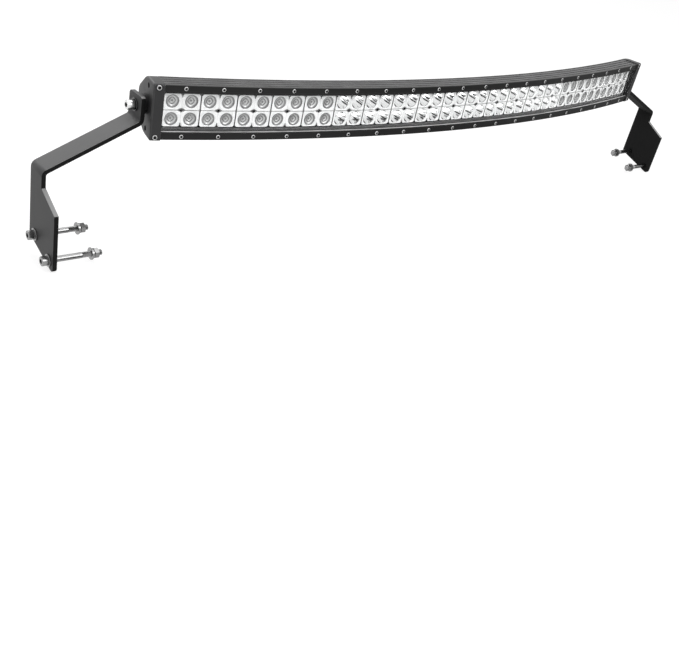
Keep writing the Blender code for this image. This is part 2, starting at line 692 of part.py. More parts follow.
def bolt_mesh(length):
    """A socket-head bolt: head above local Z = 0, shank below."""
    bolt = turned([(0, BOLT_HEAD_HEIGHT), (BOLT_HEAD / 2, BOLT_HEAD_HEIGHT), (BOLT_HEAD / 2, 0),
                   (BOLT_DIAMETER / 2, 0), (BOLT_DIAMETER / 2, -length), (0, -length)])
    socket = hex_prism(SOCKET_SIZE, BOLT_HEAD_HEIGHT - SOCKET_DEPTH, BOLT_HEAD_HEIGHT + CUT_MARGIN)
    return carve(bolt, socket, "DIFFERENCE")


def spring_washer_mesh(bore):
    """A split ring."""
    washer = ring(SPRING_WASHER_DIAMETER, bore, 0, SPRING_WASHER_THICKNESS)
    split = box((SPRING_WASHER_DIAMETER, SPRING_WASHER_SPLIT, SPRING_WASHER_DIAMETER),
                (SPRING_WASHER_DIAMETER / 2, 0, 0))
    return carve(washer, split, "DIFFERENCE")


def nut_mesh(bore):
    """A hexagon nut."""
    return carve(hex_prism(NUT_SIZE, 0, NUT_HEIGHT), cone(bore, bore, -CUT_MARGIN, NUT_HEIGHT + CUT_MARGIN),
                 "DIFFERENCE")


def add_stack(layers, side, start, y=0.0, z=0.0):
    """Fasteners threaded on one bolt, laid outward along X from a place, a gap between each two."""
    rotation = (0, side * math.pi / 2, 0)
    reach = start
    for name, mesh, thickness in layers:
        add_part(name, mesh, ZINC_STEEL, (side * reach, y, z), rotation)
        reach += thickness + GAP


def add_ends():
    """Both end caps, brackets and all their fasteners."""
    bore = BOLT_DIAMETER + 2 * BORE_CLEARANCE
    cap = end_cap_mesh()
    bracket = bracket_mesh()
    washer = ring(WASHER_DIAMETER, bore, 0, WASHER_THICKNESS)
    spring_washer = spring_washer_mesh(bore)
    nut = nut_mesh(bore)
    pivot_bolt = bolt_mesh(PIVOT_BOLT_LENGTH)
    mount_bolt = bolt_mesh(MOUNT_BOLT_LENGTH)
    nut_end = PLATE_INNER - CLAMPED_TUBE - WASHER_THICKNESS - SPRING_WASHER_THICKNESS - NUT_HEIGHT - 2 * GAP
    for name, side in SIDES.items():
        add_part(f"end_cap_{name}", cap if side > 0 else mirrored(cap), BLACK_CASTING)
        add_part(f"bracket_{name}", bracket if side > 0 else mirrored(bracket), BLACK_POWDER_COAT)
        add_stack([(f"pivot_washer_{name}", washer, WASHER_THICKNESS),
                   (f"pivot_spring_washer_{name}", spring_washer, SPRING_WASHER_THICKNESS),
                   (f"pivot_bolt_{name}", pivot_bolt, BOLT_HEAD_HEIGHT)], side, TAB_OUTER + GAP)
        for place, (y, z) in MOUNT_HOLES.items():
            end = f"{name}_{place}"
            add_stack([(f"mount_head_washer_{end}", washer, WASHER_THICKNESS),
                       (f"mount_bolt_{end}", mount_bolt, BOLT_HEAD_HEIGHT)], side, PLATE_OUTER + GAP, y, z)
            add_stack([(f"mount_nut_{end}", nut, NUT_HEIGHT),
                       (f"mount_spring_washer_{end}", spring_washer, SPRING_WASHER_THICKNESS),
                       (f"mount_tube_washer_{end}", washer, WASHER_THICKNESS)], side, nut_end, y, z)


add_housing()
add_fittings()
add_lens_stack()
add_reflectors()
add_light_boards()
add_ends()
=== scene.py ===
"""Looks of the curved double-row LED light bar and the strip brackets that carry it."""

import json
import math

import bmesh
import bpy
from mathutils import Matrix, Vector


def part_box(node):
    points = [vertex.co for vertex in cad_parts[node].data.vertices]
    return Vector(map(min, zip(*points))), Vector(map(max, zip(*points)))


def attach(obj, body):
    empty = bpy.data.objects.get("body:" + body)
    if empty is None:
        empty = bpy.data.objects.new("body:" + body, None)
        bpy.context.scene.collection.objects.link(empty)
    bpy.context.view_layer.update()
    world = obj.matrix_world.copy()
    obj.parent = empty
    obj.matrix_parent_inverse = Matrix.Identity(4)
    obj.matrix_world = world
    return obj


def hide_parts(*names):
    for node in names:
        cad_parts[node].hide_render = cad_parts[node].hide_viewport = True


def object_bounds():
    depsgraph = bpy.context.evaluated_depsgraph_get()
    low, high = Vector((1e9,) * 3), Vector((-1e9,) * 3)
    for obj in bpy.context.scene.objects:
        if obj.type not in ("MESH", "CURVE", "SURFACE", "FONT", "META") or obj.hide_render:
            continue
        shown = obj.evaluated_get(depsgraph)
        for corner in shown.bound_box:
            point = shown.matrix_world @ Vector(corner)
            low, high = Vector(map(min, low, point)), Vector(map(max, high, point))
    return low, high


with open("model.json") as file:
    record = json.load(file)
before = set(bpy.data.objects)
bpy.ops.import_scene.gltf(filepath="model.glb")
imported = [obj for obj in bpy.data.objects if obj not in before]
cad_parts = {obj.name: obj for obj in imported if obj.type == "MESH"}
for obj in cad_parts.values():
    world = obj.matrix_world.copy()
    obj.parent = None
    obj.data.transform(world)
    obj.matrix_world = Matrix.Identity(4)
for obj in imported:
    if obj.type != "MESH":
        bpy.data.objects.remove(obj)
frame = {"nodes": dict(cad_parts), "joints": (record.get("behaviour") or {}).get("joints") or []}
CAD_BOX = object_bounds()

MM = 0.001

# Curve of the bar and its row of reflector modules
FRONT_RADIUS = 2450 * MM
MODULE_PITCH = 52 * MM
MODULE_COUNT = 20
FLOOD_MODULES_PER_END = 5
MODULE_GAP = 0.8 * MM
END_MARGIN = 2.2 * MM
HALF_LENGTH = MODULE_COUNT * MODULE_PITCH / 2 + END_MARGIN
END_ANGLE = HALF_LENGTH / FRONT_RADIUS
FIT_GAP = 0.3 * MM
CUT_MARGIN = 2 * MM

# Section of the bar: depth behind the bezel's front and height from the middle
HALF_HEIGHT = 37 * MM
SHOULDER_DEPTH = 33 * MM
HOUSING_DEPTH = 62 * MM
HALF_BACK_FLAT = 14 * MM
HALF_POCKET = 31 * MM
HALF_LENS = 30.7 * MM
HALF_WINDOW = 23.2 * MM
LENS_FRONT = 5.3 * MM
LENS_BACK = 8.3 * MM
SEAT = 10.3 * MM
LEDGE_BACK = 12.1 * MM
WEB_FRONT = 29.7 * MM
WEB_BACK = 33.2 * MM
RIDGE_COUNT = 4
RIDGE_PITCH = 7.5 * MM
RIDGE_FROM_BACK = 4 * MM
GROOVE_WIDTH = 2.5 * MM
GROOVE_DEPTH = 2.6 * MM
FIN_COUNT = 7
FIN_PITCH = 8 * MM
FIN_THICKNESS = 2.4 * MM
POCKET_SIZE = (64 * MM, 30 * MM)
POCKET_CORNER = 4 * MM
SWEEP_STEPS = 60

# Bezel strips
BEZEL_BACK = 5 * MM
BEZEL_FACE = 27.1 * MM
BEZEL_INNER = 26 * MM
CHAMFER_BACK = 3.2 * MM
CHANNEL_TOP = 36.2 * MM
CHANNEL_BOTTOM = 29.2 * MM
BEZEL_SCREW_HEIGHT = 32.7 * MM
CHANNEL_DEPTH = 0.9 * MM
BEZEL_SCREW = (2.7 * MM, 0.8 * MM)

# Reflector modules
REFLECTOR_FRONT = 11.5 * MM
HALF_REFLECTOR = 22.7 * MM
CUP_COLUMN = 13 * MM
CUP_ROW = 11.95 * MM
CUP_AROUND = 32
CUP_LIP = 0.4 * MM
FLOOD_MOUTH = 9 * MM
SPOT_MOUTH = 10.05 * MM
SPOT_THROAT = 3.8 * MM
SPOT_DEPTH = 15.4 * MM
CELL_CHAMFER = 2.4 * MM
CELL_ROLL = 0.6 * MM
ROW_LINE = 0.8 * MM
COLUMN_LINE = 0.15 * MM
SCREW_HOLE = 2.9 * MM
MODULE_SCREW = (2.7 * MM, 1.0 * MM)
MODULE_SCREW_SETBACK = 0.7 * MM
REFLECTOR_WALL = 0.8 * MM
DISC_RADIUS = 8.7 * MM
DISC_CELLS = 10
DISC_SETBACK = 1.3 * MM
DISC_BOWL = 1.6 * MM
DISC_STEP = 0.35 * MM

# Light boards
BOARD_FRONT = 27.8 * MM
BOARD_BACK = 29.4 * MM
HALF_BOARD = 22 * MM
EMITTER_SIZE = 4.4 * MM

# End caps
CAP_WIDTH = 15 * MM
CAP_PROUD = 1.5 * MM
CAP_CORNER_RADIUS = 3 * MM
CAP_SHOULDER_RADIUS = 28 * MM
CAP_BACK_RADIUS = 13 * MM
CAP_OUTER_ROUND = 2.2 * MM
CAP_INNER_ROUND = 0.5 * MM
BOSS_RADIUS = 13 * MM
CAP_SCREW_HEIGHT = 29 * MM
CAP_SCREW_SETBACK = 20 * MM
CAP_RECESS_RADIUS = 3.6 * MM
CAP_RECESS_DEPTH = 4.5 * MM
CORNER_SCREW_HEIGHT = 33.5 * MM
CORNER_RECESS_RADIUS = 4.1 * MM
CORNER_RECESS_DEPTH = 1.3 * MM
CORNER_SCREW = (3.4 * MM, 1.3 * MM)
SIDE_SCREW = (3.2 * MM, 1.2 * MM)
BOSS_CHAMFER = 0.8 * MM
BOSS_ROOT = 16 * MM
BOSS_BORE_DEPTH = 18 * MM

# Brackets, measured from the pivot
STRIP_WIDTH = 34 * MM
STRIP_THICKNESS = 6 * MM
BEND_RADIUS = 4 * MM
TAB_ABOVE = 15 * MM
TAB_BELOW = 17 * MM
TAB_CORNER = 5 * MM
ARM_LENGTH = 142 * MM
ARM_SLOPE = math.radians(24)
PLATE_WIDTH = 75 * MM
NECK_LENGTH = 22 * MM
FLARE_DROP = 20 * MM
FLARE_RADIUS = 3 * MM
PLATE_FRONT_EDGE = 124 * MM
PLATE_REAR_EDGE = 102 * MM
PLATE_CORNER = 5.6 * MM
REAR_HOLE = (18 * MM, 95 * MM)
FRONT_HOLE = (13 * MM, 110 * MM)
HOLE_RADIUS = 4.5 * MM
STRIP_EDGE_ROUND = 0.55 * MM
LARGE_FLAT = 300 * MM ** 2

# Fasteners
BOLT_RADIUS = 4 * MM
THREAD_PITCH = 1.25 * MM
THREAD_DEPTH = 0.65 * MM
THREAD_LENGTH = 28 * MM
HEAD_RADIUS = 6.5 * MM
HEAD_HEIGHT = 8 * MM
KNURL_DEPTH = 0.22 * MM
SOCKET_RADIUS = 6 / math.sqrt(3) * MM
SOCKET_DEPTH = 4 * MM
MOUNT_BOLT_LENGTH = 75 * MM
PIVOT_BOLT_LENGTH = 25 * MM
WASHER_RADIUS = 8.5 * MM
WASHER_THICKNESS = 1.6 * MM
SPRING_RADIUS = 7.1 * MM
SPRING_THICKNESS = 2.1 * MM
FASTENER_BORE = 4.3 * MM
NUT_RADIUS = 13 / math.sqrt(3) * MM
NUT_HEIGHT = 6.5 * MM
CLAMPED_TUBE = 51 * MM
BOLT_AROUND = 48

# The frame's own places
PIVOT = Vector(frame["joints"][0]["pos_m"])
ARC_CENTRE = Vector((0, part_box("bezel_top")[0].y + FRONT_RADIUS, PIVOT.z))
PIVOT_LINE = Matrix.Translation((0, PIVOT.y, PIVOT.z)) @ Matrix.Rotation(math.pi / 2, 4, "Y")
TAB_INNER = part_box("bracket_right")[0].x
PLATE_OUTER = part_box("bracket_right")[1].x
TAB_OUTER = TAB_INNER + STRIP_THICKNESS
PLATE_INNER = PLATE_OUTER - STRIP_THICKNESS
PLATE_TOP = -TAB_BELOW - ARM_LENGTH * math.sin(ARM_SLOPE)
REAR_EDGE = STRIP_WIDTH / 2
FRONT_EDGE = REAR_EDGE - PLATE_WIDTH
MOUNT_HOLES = {
    "rear": (REAR_EDGE - REAR_HOLE[0], PLATE_TOP - REAR_HOLE[1]),
    "front": (FRONT_EDGE + FRONT_HOLE[0], PLATE_TOP - FRONT_HOLE[1]),
}
SIDES = {"left": -1, "right": 1}


# Mesh tools

def finished(name, bm):
    """The plain mesh of a bmesh that is then let go."""
    mesh = bpy.data.meshes.new(name)
    bm.to_mesh(mesh)
    bm.free()
    return mesh


def mesh_from(name, build):
    """A mesh filled by a function that works on a bmesh, with its faces turned outwards."""
    bm = bmesh.new()
    build(bm)
    bmesh.ops.remove_doubles(bm, verts=bm.verts, dist=0.001 * MM)
    bmesh.ops.recalc_face_normals(bm, faces=bm.faces)
    return finished(name, bm)


def merged(name, meshes):
    """Several meshes gathered into one."""
    bm = bmesh.new()
    for mesh in meshes:
        bm.from_mesh(mesh)
    return finished(name, bm)


def smooth(mesh, angle=35):
    """Smooth shading with crisp edges at the corners."""
    mesh.shade_smooth()
    mesh.set_sharp_from_angle(angle=math.radians(angle))
    return mesh


def flats_kept(mesh, area):
    """Crisp borders round the faces above an area, so that large flats are evenly shaded."""
    borders = {key for face in mesh.polygons if face.area > area for key in face.edge_keys}
    for edge in mesh.edges:
        if edge.key in borders:
            edge.use_edge_sharp = True
    return mesh


def linked(name, data):
    """A new object in the scene."""
    obj = bpy.data.objects.new(name, data)
    bpy.context.scene.collection.objects.link(obj)
    return obj


def scratch_object(mesh):
    """An object that lives only while a modifier is worked out."""
    return linked("scratch", mesh)


def evaluated(obj):
    """The plain mesh of an object with its modifiers."""
    depsgraph = bpy.context.evaluated_depsgraph_get()
    return bpy.data.meshes.new_from_object(
        obj.evaluated_get(depsgraph), preserve_all_data_layers=True, depsgraph=depsgraph)


def carve(mesh, tool, operation="DIFFERENCE"):
    """Apply one exact Boolean to a mesh."""
    target = scratch_object(mesh)
    other = scratch_object(tool)
    modifier = target.modifiers.new("carve", "BOOLEAN")
    modifier.operation = operation
    modifier.object = other
    result = evaluated(target)
    bpy.data.objects.remove(target)
    bpy.data.objects.remove(other)
    return result


def thickened(mesh, thickness):
    """A surface given a wall behind its front."""
    obj = scratch_object(mesh)
    modifier = obj.modifiers.new("wall", "SOLIDIFY")
    modifier.thickness = thickness
    modifier.offset = -1
    result = evaluated(obj)
    bpy.data.objects.remove(obj)
    return result


def softened(mesh, width_at, angle=30, segments=2):
    """Bevel the sharp edges, by a width for each edge's middle, and mark the new faces as edge."""
    bm = bmesh.new()
    bm.from_mesh(mesh)
    bmesh.ops.remove_doubles(bm, verts=bm.verts, dist=0.001 * MM)
    bmesh.ops.dissolve_limit(bm, angle_limit=math.radians(0.5), verts=bm.verts, edges=bm.edges)
    layer = bm.faces.layers.float.get("edge") or bm.faces.layers.float.new("edge")
    widths = {}
    for edge in bm.edges:
        if len(edge.link_faces) == 2 and edge.calc_face_angle() > math.radians(angle):
            middle = (edge.verts[0].co + edge.verts[1].co) / 2
            widths.setdefault(width_at(middle), []).append(edge)
    for width in sorted(widths, reverse=True):
        edges = [edge for edge in widths[width] if edge.is_valid]
        made = bmesh.ops.bevel(bm, geom=edges, offset=width, segments=segments, profile=0.5,
                               affect="EDGES", clamp_overlap=True)
        for face in made["faces"]:
            face[layer] = 1.0
    return finished("softened", bm)


def rounded(corners, steps=3):
    """Outline points (x, y, on an arc) of a polygon whose corners (x, y, radius) are rounded."""
    points = []
    for index, (x, y, radius) in enumerate(corners):
        here = Vector((x, y))
        before = Vector(corners[index - 1][:2]) - here
        after = Vector(corners[(index + 1) % len(corners)][:2]) - here
        if radius == 0:
            points.append((x, y, False))
            continue
        half_angle = before.angle(after) / 2
        reach = min(radius / math.tan(half_angle), before.length / 2, after.length / 2)
        radius = reach * math.tan(half_angle)
        bisector = (before.normalized() + after.normalized()).normalized()
        centre = here + bisector * radius / math.sin(half_angle)
        start = here + before.normalized() * reach - centre
        turn = math.pi - 2 * half_angle
        if before.cross(after) > 0:
            turn = -turn
        for step in range(steps + 1):
            point = centre + Matrix.Rotation(turn * step / steps, 2) @ start
            points.append((point.x, point.y, step < steps))
    return points


def rectangle(width, height, corner):
    """Corners of a rectangle about its middle, each with its radius."""
    return [(x * width / 2, y * height / 2, corner) for x, y in ((-1, -1), (1, -1), (1, 1), (-1, 1))]


def slab(front, back, half_height, corner):
    """Section of a flat bar between two depths."""
    return rounded([(front, -half_height, corner), (front, half_height, corner),
                    (back, half_height, corner), (back, -half_height, corner)])


def axes(x_axis, y_axis, z_axis, origin=(0, 0, 0)):
    """A matrix from three axis directions and an origin."""
    matrix = Matrix((x_axis, y_axis, z_axis)).transposed().to_4x4()
    matrix.translation = origin
    return matrix


def bar_matrix(along, depth=0.0, height=0.0):
    """Axes at a place along the bar: along it, to the back, and up."""
    angle = along / FRONT_RADIUS
    tangent = Vector((math.cos(angle), math.sin(angle), 0))
    back = Vector((-math.sin(angle), math.cos(angle), 0))
    up = Vector((0, 0, 1))
    return axes(tangent, back, up, ARC_CENTRE - back * (FRONT_RADIUS - depth) + up * height)


def swept(name, outline, start, end, steps=SWEEP_STEPS):
    """A section of (depth, height, on an arc) swept along the bar, with a map of its length and girth."""
    count = len(outline)
    girth = [0.0]
    for index in range(count):
        here = Vector(outline[index][:2])
        girth.append(girth[-1] + (Vector(outline[(index + 1) % count][:2]) - here).length)

    def build(bm):
        uv = bm.loops.layers.uv.new("along")
        edge = bm.faces.layers.float.new("edge")
        cut = bm.faces.layers.float.new("cut")
        places = [start + (end - start) * step / steps for step in range(steps + 1)]
        rings = []
        for place in places:
            matrix = bar_matrix(place)
            rings.append([bm.verts.new(matrix @ Vector((0, n, z))) for n, z, arc in outline])
        for step in range(steps):
            for index in range(count):
                after = (index + 1) % count
                face = bm.faces.new((rings[step][index], rings[step][after],
                                     rings[step + 1][after], rings[step + 1][index]))
                face[edge] = float(outline[index][2])
                corners = ((step, index), (step, index + 1), (step + 1, index + 1), (step + 1, index))
                for loop, (column, row) in zip(face.loops, corners):
                    loop[uv].uv = (places[column], girth[row])
        for ring in (rings[0], rings[-1]):
            bm.faces.new(ring)[cut] = 1.0
    return mesh_from(name, build)


def prism(outline, thickness, matrix):
    """A flat outline given a thickness, moved from its local XY plane by a matrix."""
    def build(bm):
        rings = []
        for height in (-thickness / 2, thickness / 2):
            rings.append([bm.verts.new(matrix @ Vector((point[0], point[1], height))) for point in outline])
        for index in range(len(outline)):
            after = (index + 1) % len(outline)
            bm.faces.new((rings[0][index], rings[0][after], rings[1][after], rings[1][index]))
        for ring in rings:
            bm.faces.new(ring)
    return mesh_from("prism", build)


def turned(profile, around=BOLT_AROUND, closed=False, radius_at=None):
    """A turned shape on local Z from rings of (radius, height, span), with spans named recess marked."""
    def build(bm):
        recess = bm.faces.layers.float.new("recess")
        rings = []
        for radius, height, span in profile:
            if radius == 0:
                rings.append([bm.verts.new((0, 0, height))] * around)
                continue
            ring = []
            for step in range(around):
                angle = 2 * math.pi * step / around
                reach = radius_at(radius, angle, height, span) if radius_at else radius
                ring.append(bm.verts.new((reach * math.cos(angle), reach * math.sin(angle), height)))
            rings.append(ring)
        pairs = list(zip(rings, rings[1:]))
        if closed:
            pairs.append((rings[-1], rings[0]))
        for number, (upper, lower) in enumerate(pairs):
            for step in range(around):
                after = (step + 1) % around
                corners = dict.fromkeys((upper[step], upper[after], lower[after], lower[step]))
                if len(corners) > 2:
                    bm.faces.new(list(corners))[recess] = float(profile[number][2] == "recess")
    return mesh_from("turned", build)


def cylinder(radius, low, high, around=BOLT_AROUND):
    """A plain cutter on local Z."""
    return turned([(0, high, ""), (radius, high, ""), (radius, low, ""), (0, low, "")], around)


def six_sided(radius, low, high):
    """A six-sided cutter on local Z, by its corner radius."""
    return cylinder(radius, low, high, 6)


def moved(mesh, matrix):
    """A copy of a mesh, moved."""
    copy = mesh.copy()
    copy.transform(matrix)
    return copy


def mirrored(mesh):
    """The mirror image of a mesh across the plane X = 0."""
    copy = moved(mesh, Matrix.Scale(-1, 4, (1, 0, 0)))
    copy.flip_normals()
    return copy


def piece(name, mesh, material, body, slot, *nodes):
    """A finished piece: its material, the body it rides and the CAD nodes that it stands for."""
    mesh.materials.clear()
    mesh.materials.append(material)
    obj = linked(name, mesh)
    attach(obj, body)
    if nodes:
        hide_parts(*nodes)
    return obj


def refinish(name, material):
    """A CAD node shown as it is, with a finish of its own."""
    materials = frame["nodes"][name].data.materials
    materials.clear()
    materials.append(material)


# Node tools

def add_node(tree, kind, inputs=None, **settings):
    """A node with some of its settings and input values."""
    node = tree.nodes.new(kind)
    for key, value in settings.items():
        setattr(node, key, value)
    for key, value in (inputs or {}).items():
        node.inputs[key].default_value = value
    return node


def calculate(tree, operation, first, second=None):
    """A Math node fed by sockets or numbers; returns its result."""
    node = add_node(tree, "ShaderNodeMath", operation=operation)
    for socket, value in zip(node.inputs, (first, second)):
        if isinstance(value, bpy.types.NodeSocket):
            tree.links.new(value, socket)
        elif value is not None:
            socket.default_value = value
    return node.outputs[0]


def new_tree(name, kind, inputs, outputs):
    """A node tree with named inputs and outputs; returns it with its two end nodes."""
    tree = bpy.data.node_groups.new(name, kind)
    for label, socket, value in inputs:
        made = tree.interface.new_socket(label, in_out="INPUT", socket_type=socket)
        if value is not None:
            made.default_value = value
    for label, socket in outputs:
        tree.interface.new_socket(label, in_out="OUTPUT", socket_type=socket)
    return tree, tree.nodes.new("NodeGroupInput"), tree.nodes.new("NodeGroupOutput")


def grown(tree, values, points=None):
    """The plain mesh that a Geometry Nodes tree gives for a set of named input values."""
    holder = scratch_object(points or bpy.data.meshes.new("empty"))
    modifier = holder.modifiers.new("grow", "NODES")
    modifier.node_group = tree
    for item in tree.interface.items_tree:
        if item.in_out == "INPUT" and item.name in values:
            modifier[item.identifier] = values[item.name]
    mesh = evaluated(holder)
    holder.modifiers.remove(modifier)
    bpy.data.objects.remove(holder)
    return mesh


def instances_out(tree, start, end, points, rotation, selection=None):
    """Put the tree's piece on points, make it plain geometry and give it its finish."""
    source = add_node(tree, "GeometryNodeObjectInfo")
    spread = add_node(tree, "GeometryNodeInstanceOnPoints")
    turn = add_node(tree, "FunctionNodeEulerToRotation")
    realize = add_node(tree, "GeometryNodeRealizeInstances")
    finish = add_node(tree, "GeometryNodeSetMaterial")
    tree.links.new(start.outputs["Piece"], source.inputs["Object"])
    tree.links.new(source.outputs["Geometry"], spread.inputs["Instance"])
    tree.links.new(points, spread.inputs["Points"])
    tree.links.new(rotation, turn.inputs[0])
    tree.links.new(turn.outputs[0], spread.inputs["Rotation"])
    if selection:
        tree.links.new(selection, spread.inputs["Selection"])
    tree.links.new(spread.outputs[0], realize.inputs[0])
    tree.links.new(realize.outputs[0], finish.inputs["Geometry"])
    tree.links.new(start.outputs["Finish"], finish.inputs["Material"])
    tree.links.new(finish.outputs[0], end.inputs[0])


def bar_rows_tree():
    """Rows of one piece along the bar, at a depth and heights, between two counts from the nearer end."""
    tree, start, end = new_tree("rows along the bar", "GeometryNodeTree", [
        ("Geometry", "NodeSocketGeometry", None),
        ("Count", "NodeSocketInt", MODULE_COUNT), ("Rows", "NodeSocketInt", 1),
        ("Pitch", "NodeSocketFloat", MODULE_PITCH), ("Radius", "NodeSocketFloat", FRONT_RADIUS),
        ("Centre", "NodeSocketVector", tuple(ARC_CENTRE)), ("Depth", "NodeSocketFloat", 0.0),
        ("Height", "NodeSocketFloat", 0.0), ("Row Spacing", "NodeSocketFloat", 0.0),
        ("From End", "NodeSocketInt", 0), ("To End", "NodeSocketInt", 1000),
        ("Piece", "NodeSocketObject", None), ("Finish", "NodeSocketMaterial", None),
    ], [("Geometry", "NodeSocketGeometry")])
    value = start.outputs
    index = add_node(tree, "GeometryNodeInputIndex").outputs[0]
    total = calculate(tree, "MULTIPLY", value["Count"], value["Rows"])
    column = calculate(tree, "MODULO", index, value["Count"])
    row = calculate(tree, "FLOOR", calculate(tree, "DIVIDE", index, value["Count"]))
    last = calculate(tree, "SUBTRACT", value["Count"], 1)
    step = calculate(tree, "SUBTRACT", column, calculate(tree, "MULTIPLY", last, 0.5))
    angle = calculate(tree, "DIVIDE", calculate(tree, "MULTIPLY", step, value["Pitch"]), value["Radius"])
    radius = calculate(tree, "SUBTRACT", value["Radius"], value["Depth"])
    along = calculate(tree, "MULTIPLY", calculate(tree, "SINE", angle), radius)
    across = calculate(tree, "MULTIPLY", calculate(tree, "COSINE", angle), radius)
    rise = calculate(tree, "MULTIPLY", row, value["Row Spacing"])
    offset = add_node(tree, "ShaderNodeCombineXYZ")
    tree.links.new(along, offset.inputs["X"])
    tree.links.new(calculate(tree, "MULTIPLY", across, -1.0), offset.inputs["Y"])
    tree.links.new(calculate(tree, "ADD", rise, value["Height"]), offset.inputs["Z"])
    place = add_node(tree, "ShaderNodeVectorMath", operation="ADD")
    tree.links.new(offset.outputs[0], place.inputs[0])
    tree.links.new(value["Centre"], place.inputs[1])
    points = add_node(tree, "GeometryNodePoints")
    tree.links.new(total, points.inputs["Count"])
    settle = add_node(tree, "GeometryNodeSetPosition")
    tree.links.new(points.outputs[0], settle.inputs["Geometry"])
    tree.links.new(place.outputs[0], settle.inputs["Position"])
    turn = add_node(tree, "ShaderNodeCombineXYZ")
    tree.links.new(angle, turn.inputs["Z"])
    from_end = calculate(tree, "MINIMUM", column, calculate(tree, "SUBTRACT", last, column))
    reached = calculate(tree, "SUBTRACT", value["From End"], 0.5)
    passed = calculate(tree, "SUBTRACT", value["To End"], 0.5)
    chosen = calculate(tree, "MULTIPLY", calculate(tree, "GREATER_THAN", from_end, reached),
                       calculate(tree, "LESS_THAN", from_end, passed))
    instances_out(tree, start, end, settle.outputs[0], turn.outputs[0], chosen)
    return tree


def places_tree():
    """One piece on each point of a mesh, turned by the point's own angles."""
    tree, start, end = new_tree("pieces at places", "GeometryNodeTree", [
        ("Geometry", "NodeSocketGeometry", None), ("Piece", "NodeSocketObject", None),
        ("Finish", "NodeSocketMaterial", None),
    ], [("Geometry", "NodeSocketGeometry")])
    turn = add_node(tree, "GeometryNodeInputNamedAttribute", {"Name": "turn"}, data_type="FLOAT_VECTOR")
    instances_out(tree, start, end, start.outputs["Geometry"], turn.outputs[0])
    return tree


BAR_ROWS = bar_rows_tree()
PLACES = places_tree()


def along_bar(mesh, material, **values):
    """Copies of a mesh in rows along the bar."""
    master = bpy.data.objects.new("master", mesh)
    named = {key.replace("_", " ").title(): value for key, value in values.items()}
    result = grown(BAR_ROWS, {"Piece": master, "Finish": material, **named})
    bpy.data.objects.remove(master)
    return result


def at_places(mesh, material, places):
    """Copies of a mesh at places, each a position and three turning angles."""
    master = bpy.data.objects.new("master", mesh)
    points = bpy.data.meshes.new("places")
    points.from_pydata([position for position, turn in places], [], [])
    attribute = points.attributes.new("turn", "FLOAT_VECTOR", "POINT")
    for item, (position, turn) in zip(attribute.data, places):
        item.vector = turn
    result = grown(PLACES, {"Piece": master, "Finish": material}, points)
    bpy.data.objects.remove(master)
    return result


# Shader groups

def attribute(tree, name):
    """A face mark of the piece."""
    return add_node(tree, "ShaderNodeAttribute", attribute_name=name).outputs["Fac"]


def noise_of_size(group, size, detail):
    """Noise on the piece's own coordinates, by its size in millimetres."""
    noise = add_node(group, "ShaderNodeTexNoise", {"Detail": detail})
    group.links.new(add_node(group, "ShaderNodeTexCoord").outputs["Object"], noise.inputs["Vector"])
    group.links.new(calculate(group, "DIVIDE", 1 / MM, size), noise.inputs["Scale"])
    return noise.outputs["Fac"]


def grain_group():
    """Fine grain on the surface: a height, and a slow cloudiness."""
    group, start, end = new_tree("surface grain", "ShaderNodeTree", [
        ("Grain Size", "NodeSocketFloat", 1.0), ("Cloud Size", "NodeSocketFloat", 40.0),
    ], [("Height", "NodeSocketFloat"), ("Cloud", "NodeSocketFloat")])
    for size, detail, output in (("Grain Size", 3.0, "Height"), ("Cloud Size", 2.0, "Cloud")):
        group.links.new(noise_of_size(group, start.outputs[size], detail), end.inputs[output])
    return group


def edge_wear_and_highlight_group():
    """Where marked edges are lightened: the edge mark broken up by noise. Most finishes use it for rubbed
    wear, the bezel strip for a painted highlight.
    """
    group, start, end = new_tree("edge wear and painted highlight", "ShaderNodeTree", [
        ("Amount", "NodeSocketFloat", 0.5), ("Patch Size", "NodeSocketFloat", 8.0),
    ], [("Mask", "NodeSocketFloat")])
    noise = noise_of_size(group, start.outputs["Patch Size"], 4.0)
    share = calculate(group, "MULTIPLY", attribute(group, "edge"), noise)
    group.links.new(calculate(group, "MULTIPLY", share, start.outputs["Amount"]), end.inputs["Mask"])
    return group


def drawn_lines_group():
    """Long fine lines left by the extrusion die, along the piece's own map."""
    group, start, end = new_tree("drawn lines", "ShaderNodeTree", [
        ("Line Width", "NodeSocketFloat", 0.4),
    ], [("Height", "NodeSocketFloat")])
    where = add_node(group, "ShaderNodeUVMap", uv_map="along").outputs[0]
    stretch = add_node(group, "ShaderNodeMapping", {"Scale": (2.0, 1 / MM, 1.0)})
    noise = add_node(group, "ShaderNodeTexNoise", {"Detail": 3.0})
    group.links.new(where, stretch.inputs["Vector"])
    group.links.new(stretch.outputs[0], noise.inputs["Vector"])
    group.links.new(calculate(group, "DIVIDE", 1.0, start.outputs["Line Width"]), noise.inputs["Scale"])
    group.links.new(noise.outputs["Fac"], end.inputs["Height"])
    return group


GRAIN = grain_group()
EDGE_WEAR_AND_HIGHLIGHT = edge_wear_and_highlight_group()
DRAWN_LINES = drawn_lines_group()


# Materials

def new_material(name):
    """A material with one Principled shader; returns the material, its tree and the shader."""
    material = bpy.data.materials.new(name)
    material.use_nodes = True
    return material, material.node_tree, material.node_tree.nodes["Principled BSDF"]


def use_group(tree, group, **values):
    """One of the shared groups, with its own values."""
    node = add_node(tree, "ShaderNodeGroup", node_tree=group)
    for key, value in values.items():
        node.inputs[key.replace("_", " ").title()].default_value = value
    return node.outputs


def grey(level):
    """A neutral colour."""
    return (level, level, level)


